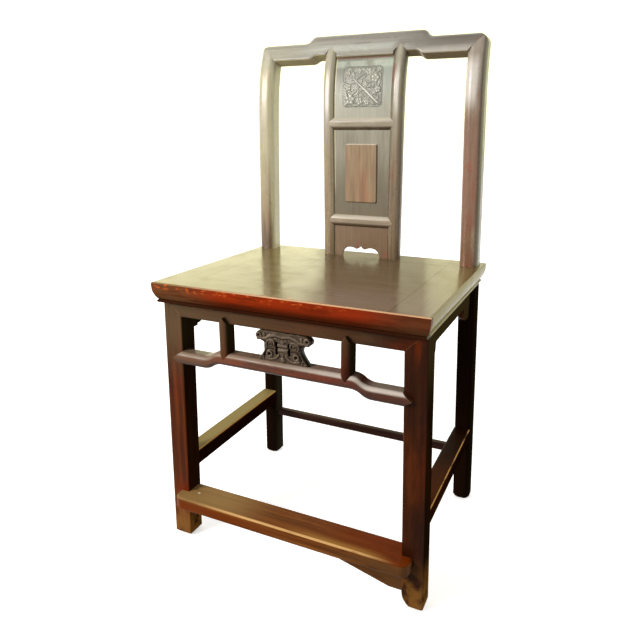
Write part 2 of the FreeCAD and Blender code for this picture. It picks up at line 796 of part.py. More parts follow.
def side_apron_tongue(gap):
    low = side_apron_bottom - DROP_HEIGHT
    x = (apron_inner + apron_outer) / 2
    half = APRON_TONGUE_THICKNESS / 2 + gap
    end = APRON_TONGUE + gap
    y0 = leg_back - end
    y1 = rear_front(low) + end
    shape = box(x - half, x + half, y0, leg_back + APRON_TONGUE, low - gap, under_seat)
    return shape.fuse(box(x - half, x + half, rear_front(low) - APRON_TONGUE, y1, low - gap, under_seat))


back_apron_y = rear_front(under_seat) + SIDE_APRON_SET


def back_apron(gap):
    """Plain apron between the rear legs, or with a gap the grooves its tongues need."""
    y = back_apron_y + SIDE_APRON_THICKNESS / 2
    half = APRON_TONGUE_THICKNESS / 2 + gap
    end = post_inner(under_seat) + APRON_TONGUE + gap
    tongue = box(-end, end, y - half, y + half, side_apron_bottom - gap, under_seat)
    if gap:
        return tongue
    body = between_legs(
        side_apron_bottom, under_seat, back_apron_y, back_apron_y + SIDE_APRON_THICKNESS, post_inner
    )
    return body.fuse(tongue)


# Footrest
def footrest_tenon(gap):
    return cross_tenon(footrest_bottom, FOOTREST_TOP, leg_front, footrest_back, leg_inner, gap)


def footrest():
    ear = leg_inner(FOOTREST_TOP) + FOOTREST_EAR
    shelf = box(-ear, ear, footrest_front, leg_front, footrest_bottom, FOOTREST_TOP)
    shelf = rounded(shelf, FOOTREST_CORNER, (FRONT, LEFT), (FRONT, RIGHT))
    inner = between_legs(footrest_bottom, FOOTREST_TOP, leg_front, footrest_back, leg_inner)
    board = single(shelf.fuse(inner))
    board = rounded(board, FOOTREST_ROUND, (FRONT, UP), (FRONT, DOWN))
    return board.fuse(footrest_tenon(0))


def bracket(gap):
    """Bracket between the footrest and the right leg, or with a gap the groove its tongue needs."""
    low = bracket_low
    y0 = leg_front + BRACKET_SET
    y = y0 + BRACKET_THICKNESS / 2
    half = APRON_TONGUE_THICKNESS / 2 + gap
    end = leg_inner(footrest_bottom) + APRON_TONGUE + gap
    tongue = box(end - LEG_WIDTH, end, y - half, y + half, low - gap, footrest_bottom)
    if gap:
        return tongue
    inner = leg_inner(footrest_bottom)
    path = [
        (inner, footrest_bottom),
        (inner - BRACKET_LENGTH, footrest_bottom),
        (inner - BRACKET_LENGTH, footrest_bottom - BRACKET_EDGE),
        (inner - BRACKET_FLAT, low),
        (leg_inner(low), low),
    ]
    body = prism_xz(path, y0, y0 + BRACKET_THICKNESS)
    return body.fuse(tongue.common(box(inner - APRON_TONGUE, reach, y0, leg_back, low, footrest_bottom)))


def peg(gap):
    x = leg_inner(FOOTREST_TOP) - PEG_INSET
    base = Vector(x, leg_front + PEG_BACK, FOOTREST_TOP - PEG_LENGTH)
    return Part.makeCylinder(PEG_DIAMETER / 2 + gap, PEG_LENGTH + PEG_PROUD, base, UP)


# Stretchers
side_stretcher_bottom = SIDE_STRETCHER_TOP - SIDE_STRETCHER_HEIGHT
side_stretcher_outer = outer_x(SIDE_STRETCHER_TOP) - SIDE_STRETCHER_SET
side_stretcher_inner = side_stretcher_outer - SIDE_STRETCHER_WIDTH
back_stretcher_bottom = BACK_STRETCHER_TOP - BACK_STRETCHER_HEIGHT
back_stretcher_front = rear_front(back_stretcher_bottom) + (POST_DEPTH - BACK_STRETCHER_DEPTH) / 2
back_stretcher_back = back_stretcher_front + BACK_STRETCHER_DEPTH


def side_stretcher_tenon(gap):
    z = (side_stretcher_bottom + SIDE_STRETCHER_TOP) / 2
    half_z = SIDE_STRETCHER_HEIGHT * tenon_share / 2 + gap
    x = (side_stretcher_inner + side_stretcher_outer) / 2
    half_x = SIDE_STRETCHER_WIDTH * tenon_share / 2 + gap
    y0 = leg_back - TENON - gap
    y1 = rear_front(z) + TENON + gap
    return box(x - half_x, x + half_x, y0, y1, z - half_z, z + half_z)


def side_stretcher():
    low = side_stretcher_bottom
    top = SIDE_STRETCHER_TOP
    path = [(leg_back, low), (rear_front(low), low), (rear_front(top), top), (leg_back, top)]
    bar = prism_yz(path, side_stretcher_inner, side_stretcher_outer)
    bar = rounded(bar, ARRIS, (LEFT, UP), (LEFT, DOWN), (RIGHT, UP), (RIGHT, DOWN))
    return bar.fuse(side_stretcher_tenon(0))


def back_stretcher_tenon(gap):
    return cross_tenon(
        back_stretcher_bottom, BACK_STRETCHER_TOP, back_stretcher_front, back_stretcher_back, post_inner, gap
    )


def back_stretcher():
    bar = between_legs(
        back_stretcher_bottom, BACK_STRETCHER_TOP, back_stretcher_front, back_stretcher_back, post_inner
    )
    bar = rounded(bar, ARRIS, (FRONT, UP), (FRONT, DOWN), (BACK, UP), (BACK, DOWN))
    return bar.fuse(back_stretcher_tenon(0))


# Members with their mortises
def cut_all(shape, *tools):
    for tool in tools:
        shape = shape.cut(tool)
    return single(shape)


def build():
    pieces = {}
    g = CLEARANCE

    post = post_bar().common(mitre_side()).common(back_corner()).fuse(post_tenon(0))
    post = cut_all(
        post, side_apron_tongue(g), back_apron(g), side_stretcher_tenon(g), back_stretcher_tenon(g)
    )
    leg = front_leg_bar().fuse(leg_tenon(0))
    leg = cut_all(
        leg, apron_mitre(), apron_tenon(g), hump_tip(), hump_tenon(g), side_apron_tongue(g),
        side_stretcher_tenon(g), footrest_tenon(g),
    )
    pieces["back_post_right"] = post
    pieces["back_post_left"] = mirrored(post)
    pieces["front_leg_right"] = cut_all(leg, bracket(g), worn_foot())
    pieces["front_leg_left"] = mirrored(leg)
    posts = [post, mirrored(post)]

    stile = cut_all(
        stile_bar().fuse(stile_tenons(0)),
        *[rail_lap(base) for base in (lower_rail_z, upper_rail_z - SPLAT_RAIL)],
        *[splat_rail_tenon(base, g) for base in (lower_rail_z, upper_rail_z - SPLAT_RAIL)],
    )
    spans = {
        "lower": (SEAT_HEIGHT, lower_rail_z),
        "middle": (lower_rail_z + SPLAT_RAIL, upper_rail_z - SPLAT_RAIL),
        "upper": (upper_rail_z, crest_lip),
    }
    grooves = [panel_plate(low, high, SPLAT_TONGUE, g) for low, high in spans.values()]
    stile = cut_all(stile, *grooves)
    pieces["splat_stile_right"] = stile
    pieces["splat_stile_left"] = mirrored(stile)
    for name, base in (("lower", lower_rail_z), ("upper", upper_rail_z - SPLAT_RAIL)):
        rail = splat_rail(base).fuse(splat_rail_tenon(base, 0))
        pieces["splat_rail_" + name] = cut_all(rail, *grooves)
    plates = {name: panel_plate(low, high, SPLAT_TONGUE, 0) for name, (low, high) in spans.items()}
    above = box(-reach, reach, seat_front, reach, SEAT_HEIGHT, back_top)
    pieces["splat_panel_lower"] = cut_all(plates["lower"].common(above), cutout())
    pieces["splat_panel_middle"] = cut_all(plates["middle"], tablet(0))
    pieces["splat_panel_upper"] = cut_all(plates["upper"], carving_field())
    pieces["panel_tablet"] = single(tablet(0))

    keep = mitre_side()
    crest = crest_bar().common(back_corner().fuse(mirrored(back_corner())))
    crest = crest.cut(keep).cut(mirrored(keep))
    for tool in (post_tenon(g), stile_tip_lap(), stile_tenons(g)):
        crest = crest.cut(tool).cut(mirrored(tool))
    pieces["crest_rail"] = cut_all(crest, grooves[-1])

    front = frame_member(SEAT_WIDTH, seat_back, 0).fuse(corner_tenon(0)).fuse(mirrored(corner_tenon(0)))
    back = frame_member(SEAT_WIDTH, seat_back, 180)
    side = frame_member(SEAT_DEPTH, half_seat, 90)
    both = [leg_tenon(g), mirrored(leg_tenon(g)), batten(g), mirrored(batten(g)), panel_groove()]
    pieces["seat_rail_front"] = cut_all(front, *both)
    feet = [stile_tenons(g), mirrored(stile_tenons(g))]
    pieces["seat_rail_back"] = cut_all(back, *both, *posts, *feet)
    side = cut_all(side, leg_tenon(g), panel_groove(), corner_tenon(g), post)
    pieces["seat_rail_right"] = side
    pieces["seat_rail_left"] = mirrored(side)
    pieces["seat_panel"] = single(seat_panel())
    pieces["seat_batten_right"] = single(batten(0))
    pieces["seat_batten_left"] = mirrored(single(batten(0)))

    tips = strut_tips().fuse(strut_tenon(g))
    sockets = [tips, mirrored(tips), ornament_tenons(g)]
    pieces["front_apron_rail"] = cut_all(apron_rail(), *sockets)
    pieces["humpback_stretcher"] = cut_all(humpback(), *sockets)
    pieces["strut_right"] = single(strut())
    pieces["strut_left"] = mirrored(single(strut()))
    pieces["carved_ornament"] = single(ornament())

    pieces["side_apron_right"] = single(side_apron())
    pieces["side_apron_left"] = mirrored(single(side_apron()))
    pieces["back_apron"] = single(back_apron(0))
    pieces["side_stretcher_right"] = single(side_stretcher())
    pieces["side_stretcher_left"] = mirrored(single(side_stretcher()))
    pieces["back_stretcher"] = single(back_stretcher())

    pieces["footrest"] = cut_all(footrest(), peg(0), mirrored(peg(0)))
    pieces["footrest_bracket"] = single(bracket(0))
    pieces["footrest_peg_right"] = peg(0)
    pieces["footrest_peg_left"] = mirrored(peg(0))
    return pieces


for name, shape in build().items():
    shape.exportStep("parts/" + name + ".step")
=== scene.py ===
"""Looks of an old lacquered side chair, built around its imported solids."""
import math

import bmesh
import bpy
import numpy as np
from mathutils import Matrix, Vector
from mathutils.bvhtree import BVHTree


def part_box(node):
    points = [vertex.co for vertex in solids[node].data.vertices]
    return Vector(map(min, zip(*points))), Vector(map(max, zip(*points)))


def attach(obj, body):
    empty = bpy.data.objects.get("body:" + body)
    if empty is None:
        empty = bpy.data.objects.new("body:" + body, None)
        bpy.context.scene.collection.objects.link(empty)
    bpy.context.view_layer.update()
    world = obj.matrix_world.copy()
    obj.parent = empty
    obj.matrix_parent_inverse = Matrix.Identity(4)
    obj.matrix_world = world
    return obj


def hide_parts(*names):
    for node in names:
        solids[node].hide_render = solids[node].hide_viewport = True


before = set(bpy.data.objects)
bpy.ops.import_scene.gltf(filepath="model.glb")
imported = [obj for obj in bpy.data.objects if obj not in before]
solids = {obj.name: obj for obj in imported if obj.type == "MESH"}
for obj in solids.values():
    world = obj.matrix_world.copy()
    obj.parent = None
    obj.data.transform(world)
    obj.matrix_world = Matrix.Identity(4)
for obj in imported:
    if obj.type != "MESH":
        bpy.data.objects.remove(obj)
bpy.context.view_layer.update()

MM = 0.001
X, Y, Z = 0, 1, 2

# Numbers that all lacquers share; lengths are in millimetres, and noise runs from nought to one
GRAIN_STOPS = (0.32, 0.5, 0.70)
FIBRE_LENGTH, FIBRE_WIDTH, FIBRE_DETAIL = 60, 2.2, 3.0
FIBRE_SHADE = (0.86, 1.1)
POLISH_PATCH, POLISH_DETAIL = 38, 2.0
POLISH_SPREAD = (-0.06, 0.1)
NOISE_LOW, NOISE_HIGH = 0.3, 0.7
STREAK_ROUGHNESS = 0.55
# agreement of a surface with its rounded self where no edge shows and where all of it does
EDGE_RAMP = (0.995, 0.86)
BEVEL_RAYS = 6
# steps between the seeds of layers, of streaks in a layer and of the fibre
LAYER_SEED, BREAK_SEED, FIBRE_SEED = 11.3, 3.7, 0.5


def tone(code):
    """A colour written as sRGB hex, in linear light."""
    parts = [int(code[i:i + 2], 16) / 255 for i in (1, 3, 5)]
    return [p / 12.92 if p <= 0.04045 else ((p + 0.055) / 1.055) ** 2.4 for p in parts] + [1.0]


def add(tree, kind, sockets=None, **settings):
    """Adds a node with its settings; a socket takes a value or another node's output."""
    made = tree.nodes.new(kind)
    for name, value in settings.items():
        setattr(made, name, value)
    for key, value in (sockets or {}).items():
        if isinstance(value, bpy.types.NodeSocket):
            tree.links.new(value, made.inputs[key])
        else:
            made.inputs[key].default_value = value
    return made


def streaks(tree, spot, along, length, width, seed, detail=4.0):
    """Noise drawn out along the grain; length and width of a streak are in millimetres."""
    scale = [1 / (width * MM)] * 3
    scale[along] = 1 / (length * MM)
    laid = add(tree, "ShaderNodeMapping", {"Vector": spot, "Scale": scale})
    noise = add(tree, "ShaderNodeTexNoise", {
        "Vector": laid.outputs[0], "W": seed, "Scale": 1.0, "Detail": detail,
        "Roughness": STREAK_ROUGHNESS,
    }, noise_dimensions="4D")
    return noise.outputs["Fac"]


def arris(tree, radius):
    """How far a surface agrees with its rounded self, within millimetres: less than one near edges."""
    smooth = add(tree, "ShaderNodeBevel", {"Radius": radius * MM}, samples=BEVEL_RAYS)
    true = add(tree, "ShaderNodeNewGeometry").outputs["Normal"]
    dot = add(tree, "ShaderNodeVectorMath", {0: smooth.outputs[0], 1: true}, operation="DOT_PRODUCT")
    return dot.outputs["Value"]


def shown(tree, spot, along, seed, where=(), breaks=(), edge=None, facing=None, raised=None, strength=1.0):
    """Where a layer of colour shows: a product of ramps, each from where nothing shows to where all does.

    where: an axis or a slanted direction, then two places along it in metres
    breaks: length and width of streaks in millimetres, then two values of their noise
    edge: how far the wear of an edge reaches, in millimetres
    facing: a direction, then two shares of a face's agreement with it
    raised: two heights of a carving, in millimetres
    """
    split = add(tree, "ShaderNodeSeparateXYZ", {0: spot})
    measures = []
    for axis, none, full in where:
        if isinstance(axis, tuple):
            dot = add(tree, "ShaderNodeVectorMath", {0: spot, 1: axis}, operation="DOT_PRODUCT")
            measures.append((dot.outputs["Value"], none, full))
        else:
            measures.append((split.outputs[axis], none, full))
    for i, (length, width, none, full) in enumerate(breaks):
        measures.append((streaks(tree, spot, along, length, width, seed + BREAK_SEED * i), none, full))
    if edge:
        measures.append((arris(tree, edge), *EDGE_RAMP))
    if facing:
        way, none, full = facing
        normal = add(tree, "ShaderNodeNewGeometry").outputs["Normal"]
        aim = Vector(way).normalized()
        dot = add(tree, "ShaderNodeVectorMath", {0: normal, 1: aim}, operation="DOT_PRODUCT")
        measures.append((dot.outputs["Value"], none, full))
    if raised:
        cut = add(tree, "ShaderNodeAttribute", attribute_name="carved_height")
        measures.append((cut.outputs["Fac"], *raised))
    product = strength
    for value, none, full in measures:
        ramp = add(tree, "ShaderNodeMapRange", {0: value, 1: none, 2: full}, interpolation_type="SMOOTHSTEP")
        both = add(tree, "ShaderNodeMath", {0: ramp.outputs[0], 1: product}, operation="MULTIPLY")
        product = both.outputs[0]
    return product


def lacquered(name, tones, along, layers=(), figure=(150, 9), roughness=0.34, gloss=0.5, seed=1.0,
              fibre_depth=0.12, wave_depth=0.5, dull=()):
    """Old lacquer over wood: grain streaks, layers of wear and colour, an uneven polish and fine ridges.

    figure: length and width of the grain's streaks, in millimetres
    dull: places where the gloss is gone, written as layers without a tone
    """
    material = bpy.data.materials.new(name)
    material.use_nodes = True
    tree = material.node_tree
    tree.nodes.clear()
    spot = add(tree, "ShaderNodeTexCoord").outputs["Object"]
    broad = streaks(tree, spot, along, figure[0], figure[1], seed)
    ramp = add(tree, "ShaderNodeValToRGB", {"Fac": broad})
    stops = ramp.color_ramp.elements
    stops[0].position, stops[1].position = GRAIN_STOPS[0], GRAIN_STOPS[2]
    stops[0].color, stops[1].color = tone(tones[0]), tone(tones[2])
    stops.new(GRAIN_STOPS[1]).color = tone(tones[1])
    colour = ramp.outputs[0]
    for i, layer in enumerate(layers):
        code, rest = layer["tone"], {k: v for k, v in layer.items() if k != "tone"}
        mask = shown(tree, spot, along, seed + LAYER_SEED * (i + 1), **rest)
        colour = add(tree, "ShaderNodeMix", {0: mask, 6: colour, 7: tone(code)}, data_type="RGBA").outputs[2]
    fibre = streaks(tree, spot, along, FIBRE_LENGTH, FIBRE_WIDTH, seed + FIBRE_SEED, FIBRE_DETAIL)
    shade = add(tree, "ShaderNodeMapRange", {
        0: fibre, 1: NOISE_LOW, 2: NOISE_HIGH, 3: FIBRE_SHADE[0], 4: FIBRE_SHADE[1],
    })
    colour = add(tree, "ShaderNodeMix", {0: 1.0, 6: colour, 7: shade.outputs[0]}, data_type="RGBA",
                 blend_type="MULTIPLY").outputs[2]
    uneven = add(tree, "ShaderNodeTexNoise", {
        "Vector": spot, "Scale": 1 / (POLISH_PATCH * MM), "Detail": POLISH_DETAIL,
    })
    polish = add(tree, "ShaderNodeMapRange", {
        0: uneven.outputs["Fac"], 1: NOISE_LOW, 2: NOISE_HIGH,
        3: roughness + POLISH_SPREAD[0], 4: roughness + POLISH_SPREAD[1],
    })
    wave = add(tree, "ShaderNodeBump", {
        "Height": uneven.outputs["Fac"], "Strength": 1.0, "Distance": wave_depth * MM,
    })
    ridge = add(tree, "ShaderNodeBump", {
        "Height": fibre, "Strength": 1.0, "Distance": fibre_depth * MM, "Normal": wave.outputs[0],
    })
    for place in dull:
        mask = shown(tree, spot, along, seed, **place)
        gloss = add(tree, "ShaderNodeMapRange", {0: mask, 3: gloss, 4: 0.0}).outputs[0]
    shader = add(tree, "ShaderNodeBsdfPrincipled", {
        "Base Color": colour, "Roughness": polish.outputs[0], "Normal": ridge.outputs[0],
        "Specular IOR Level": gloss,
    })
    add(tree, "ShaderNodeOutputMaterial", {"Surface": shader.outputs[0]})
    return material


# Ways that faces look
RIGHT_FACE = ((1, 0, 0), 0.6, 0.95)
FRONT_ARRIS = ((0, -1, 1), 0.86, 0.97)
FRONT = ((0, -1, 0), 0.0, 0.45)
UNDERSIDE = ((0, -0.27, -0.96), 0.60, 0.90)

# Dark red-brown lacquer of legs, struts and aprons, rubbed to warm red on the faces and tan on the arrises,
# paler on the upper left as painted light, darker to the right and on right-facing faces as painted shade,
# with painted olive light on those faces up high
FRAME_TONES = ("#361406", "#52230a", "#693310")
FRAME_LAYERS = (
    {"tone": "#7a2d0c", "breaks": ((120, 45, 0.5, 0.68),), "strength": 0.7},
    # painted light: paler on the upper left
    {"tone": "#6f5a40", "where": ((Z, 0.30, 0.46), (X, 0.02, -0.22)), "strength": 0.75},
    {"tone": "#574430", "where": ((Z, 0.40, 0.455), (X, 0.21, 0.14)), "strength": 0.7},
    # painted shade: darker towards the right
    {"tone": "#1a0b04", "where": ((X, 0.02, 0.20),), "breaks": ((160, 60, 0.30, 0.52),), "strength": 0.75},
    {"tone": "#a87b4e", "edge": 1.6, "breaks": ((30, 14, 0.42, 0.62),), "strength": 0.55},
    # painted shade on right-facing faces, with painted olive light on them higher up
    {"tone": "#1c1206", "facing": RIGHT_FACE, "strength": 0.85},
    {"tone": "#4a3f24", "where": ((Z, 0.34, 0.46),), "facing": RIGHT_FACE, "strength": 0.7},
    {"tone": "#97672f", "where": ((Z, 0.11, 0.02),), "breaks": ((30, 20, 0.36, 0.56),), "strength": 0.75},
)
frame_finish = [
    lacquered(f"worn_dark_lacquer_{'xyz'[a]}", FRAME_TONES, a, FRAME_LAYERS, roughness=0.34, gloss=0.05,
              seed=2.0 + a, dull=({"facing": RIGHT_FACE},))
    for a in (X, Y, Z)
]

# The humpback stretcher, with a painted highlight along its upper front, brightest towards the right, and
# painted shade along its lower front
hump_finish = lacquered(
    "rubbed_dark_lacquer_painted_highlight", FRAME_TONES, X, FRAME_LAYERS[:5] + (
        # painted highlight along the upper front, brightest to the right, then painted shade on the faces
        # turned down
        {"tone": "#a4917f", "facing": ((0, -0.6, 0.8), 0.58, 0.97), "breaks": ((80, 20, 0.28, 0.48),),
         "strength": 0.65},
        {"tone": "#ece2da", "where": ((X, -0.02, 0.13),), "facing": ((0, -0.62, 0.78), 0.70, 0.98),
         "strength": 0.72},
        {"tone": "#2b120a", "facing": ((0, -0.6, -0.8), 0.60, 0.92), "strength": 0.75},
    ), roughness=0.3, gloss=0.2, seed=7.0)

# Nearly black lacquer of the back stretcher, painted dark as the shade under the seat
dark_finish = lacquered("black_brown_lacquer_painted_shade", ("#24100a", "#32180e", "#3f2213"), X, roughness=0.45,
                        gloss=0.08, seed=9.0)

# Brown lacquer of the back: grey towards the top and pale on the left as painted glare, rubbed red on its
# right side, darker towards the bottom and along its edges, and painted light on the inner side of the left
# post
BACK_TONES = ("#7b654c", "#968062", "#ab9779")
BACK_LAYERS = (
    # painted glare: paler grey towards the top
    {"tone": "#aeac9a", "where": ((Z, 0.66, 0.84),), "strength": 0.8},
    # painted glare: paler on the left
    {"tone": "#c8c29f", "where": ((X, -0.02, -0.17), (Z, 0.54, 0.74)), "strength": 0.85},
    {"tone": "#96512f", "where": ((X, 0.02, 0.09), (Z, 0.80, 0.68)), "breaks": ((70, 16, 0.50, 0.66),),
     "strength": 0.55},
    {"tone": "#4c3325", "where": ((Z, 0.57, 0.50),), "strength": 0.35},
    # painted light on right-facing faces on the left of the back, the inner side of the left post
    {"tone": "#efe9c2", "where": ((X, 0.10, -0.10),), "facing": ((1, 0, 0), 0.45, 0.85), "strength": 0.92},
    {"tone": "#43382a", "edge": 0.9, "strength": 0.7},
)
STILE_LAYERS = BACK_LAYERS + (
    # painted shade along the inner edges of both stiles, beside the panels
    {"tone": "#5c5138", "where": ((X, 0.0, -0.01), (X, -0.0600, -0.0562)), "strength": 0.85},
    {"tone": "#2f281d", "where": ((X, 0.0, 0.01), (X, 0.0600, 0.0562)), "strength": 0.85},
    {"tone": "#4a3c2b", "where": ((X, 0.050, 0.060), (Z, 0.80, 0.70)), "strength": 0.3},
    # painted shade on the right and left thirds of the right stile's rounded face
    {"tone": "#75674f", "where": ((X, 0.0710, 0.0765),), "strength": 0.6},
    {"tone": "#726a54", "where": ((X, 0.0, 0.01), (X, 0.0668, 0.0612), (Z, 0.66, 0.76)), "strength": 0.8},
    {"tone": "#7d5142",
     "where": ((X, 0.0, 0.01), (X, 0.0675, 0.0630), (Z, 0.826, 0.838), (Z, 0.870, 0.856)),
     "facing": FRONT, "strength": 0.7},
    # painted highlights down the middle of each stile
    {"tone": "#f4eee6",
     "where": ((X, 0.0635, 0.0668), (X, 0.0730, 0.0697), (Z, 0.765, 0.810), (Z, 0.868, 0.838)),
     "facing": FRONT, "strength": 0.8},
    {"tone": "#f4eee2",
     "where": ((X, -0.0745, -0.0712), (X, -0.0640, -0.0672), (Z, 0.762, 0.800), (Z, 0.868, 0.832)),
     "facing": FRONT, "strength": 0.75},
)
POST_LAYERS = BACK_LAYERS[:5] + (
    # painted glare: grey-mauve at the top of the right post
    {"tone": "#a09488", "where": ((X, 0.10, 0.17), (Z, 0.78, 0.83)), "strength": 0.85},
    {"tone": "#5f4a3a", "where": ((X, -0.10, -0.17), (Z, 0.60, 0.52)), "facing": ((0, -1, 0), 0.30, 0.80),
     "strength": 0.6},
    # painted glare: paler at the top of the left post
    {"tone": "#b2b09e", "where": ((X, -0.10, -0.17), (Z, 0.85, 0.89)), "strength": 0.8},
    {"tone": "#865c46", "where": ((X, 0.10, 0.17), (Z, 0.83, 0.76)), "breaks": ((90, 30, 0.26, 0.46),),
     "strength": 0.75},
    {"tone": "#9a5233", "where": ((X, 0.10, 0.17), (Z, 0.83, 0.80)), "breaks": ((50, 14, 0.54, 0.64),),
     "strength": 0.6},
    # painted shade on the right post's right edge, and painted olive light on its right-facing side
    {"tone": "#43331f", "where": ((X, 0.18, 0.20),), "facing": ((0.8, -0.6, 0), 0.84, 0.98),
     "strength": 0.75},
    {"tone": "#7f7c54", "where": ((X, 0.18, 0.20),), "facing": RIGHT_FACE, "strength": 0.8},
    # painted highlight on the right post's bend
    {"tone": "#efe9e2", "where": ((X, 0.10, 0.17), (X, 0.214, 0.206), (Z, 0.775, 0.815), (Z, 0.878, 0.850)),
     "facing": FRONT, "strength": 0.75},
    # painted shade: near black below the seat
    {"tone": "#140803", "where": ((Z, 0.506, 0.500),), "strength": 0.97},
)
# The crest rail, grey with painted glare: darker along its top and pale towards its lower edge as painted
# reflection, rubbed red at its right end, and pale olive beneath as painted light
CREST_LAYERS = (
    # painted glare: paler grey on the left
    {"tone": "#a8a691", "where": ((X, -0.05, -0.20),), "strength": 0.85},
    # painted reflection: darker along the top on the right, pale bands towards the lower edge
    {"tone": "#6a6156", "where": ((X, 0.04, 0.17), (Z, 0.880, 0.898)), "strength": 0.75},
    {"tone": "#c3c8bd", "where": ((X, -0.16, -0.06), (X, 0.10, 0.05), (Z, 0.907, 0.895)),
     "breaks": ((40, 16, 0.30, 0.50),), "strength": 0.8},
    {"tone": "#9a968a", "where": ((X, -0.16, -0.06), (X, 0.10, 0.05), (Z, 0.894, 0.886)), "strength": 0.8},
    {"tone": "#c6c2b8", "where": ((X, 0.06, 0.12), (X, 0.21, 0.18), (Z, 0.893, 0.881)), "strength": 0.85},
    {"tone": "#8a5a48", "where": ((X, 0.15, 0.20),), "breaks": ((40, 12, 0.54, 0.62),), "strength": 0.6},
    # painted light on the underside
    {"tone": "#a89b7c", "where": ((X, -0.22, -0.06),), "facing": UNDERSIDE, "strength": 0.95},
    {"tone": "#d8cfa8", "where": ((X, -0.02, -0.10),), "facing": UNDERSIDE, "strength": 0.95},
)
rail_finish = lacquered(
    "brown_lacquer_painted_glare_rails", BACK_TONES, X, BACK_LAYERS[:5] + (
        {"tone": "#b0a390", "where": ((Z, 0.66, 0.60),), "strength": 0.6},
        # painted highlight along the rails' tops and painted shade along their undersides
        {"tone": "#d8d1c0", "facing": ((0, -0.6, 0.8), 0.60, 0.95), "strength": 0.75},
        {"tone": "#3f2f20", "facing": ((0, -0.5, -0.87), 0.50, 0.90), "strength": 0.8},
    ), roughness=0.22, gloss=0.5, seed=12.0)
stile_finish = lacquered("brown_lacquer_painted_glare_stiles", BACK_TONES, Z, STILE_LAYERS, roughness=0.27,
                         gloss=0.5, seed=15.0)
crest_finish = lacquered("grey_lacquer_painted_glare_crest", ("#837f75", "#949087", "#a4a097"), X, CREST_LAYERS,
                         roughness=0.24, gloss=0.45, seed=12.0, dull=({"facing": UNDERSIDE},))
post_finish = lacquered("brown_lacquer_painted_glare_posts", BACK_TONES, Z, POST_LAYERS, roughness=0.27, gloss=0.5,
                        seed=17.0, dull=({"where": ((Z, 0.510, 0.502),)},))

# Grey-green painted glare over the brown lacquer of the splat's panels, browner lower down, with a rusty
# streak at the bottom and a rusty line under the crest rail
panel_finish = lacquered(
    "lacquer_painted_glare_panel", ("#817c6a", "#948f7d", "#a7a290"), Z, (
        {"tone": "#6c614a", "where": ((Z, 0.73, 0.63),), "strength": 0.8},
        {"tone": "#856a51", "where": ((Z, 0.60, 0.56),), "strength": 0.9},
        # painted glare: paler upwards, and in the upper panel darker on the left and paler on the right as
        # painted reflection
        {"tone": "#aeae9e", "where": ((Z, 0.74, 0.78),), "strength": 0.85},
        {"tone": "#6a6e61", "where": ((Z, 0.785, 0.86), (X, 0.05, -0.02)), "strength": 0.85},
        {"tone": "#99a599", "where": ((Z, 0.785, 0.84), (X, 0.02, 0.05)), "strength": 0.8},
        {"tone": "#a4503a", "where": ((Z, 0.545, 0.53),), "breaks": ((30, 9, 0.58, 0.68),),
         "strength": 0.7},
        # painted glare: a pale band along the top of the upper panel
        {"tone": "#c9d6c6", "where": ((Z, 0.857, 0.864), (Z, 0.8740, 0.8700)),
         "breaks": ((30, 22, 0.34, 0.52),), "strength": 0.6},
        # painted highlight: a pale line down the left edge of the middle panel
        {"tone": "#d6cda0", "where": ((X, -0.0525, -0.0550), (Z, 0.62, 0.66)), "strength": 0.8},
        {"tone": "#6e4a34", "where": ((Z, 0.8745, 0.8760),), "strength": 0.85},
    ), figure=(160, 14), roughness=0.32, gloss=0.5, seed=23.0)

# Figured brown wood of the raised tablet, with one rusty streak up its middle, a painted highlight along its
# top edge and painted shade along its bottom edge
tablet_finish = lacquered(
    "figured_rosewood_tablet", ("#846a4f", "#997f60", "#aa9273"), Z, (
        {"tone": "#b0693f", "where": ((X, -0.018, 0.004), (X, 0.030, 0.008), (Z, 0.73, 0.66)),
         "breaks": ((110, 8, 0.44, 0.60),), "strength": 0.4},
        # painted highlight on the top edge, painted shade on the bottom edge
        {"tone": "#e8e0cc", "facing": ((0, -0.4, 0.92), 0.55, 0.85), "strength": 0.9},
        {"tone": "#5a442f", "facing": ((0, -0.4, -0.92), 0.55, 0.85), "strength": 0.7},
    ), figure=(90, 7), roughness=0.36, gloss=0.45, seed=29.0)

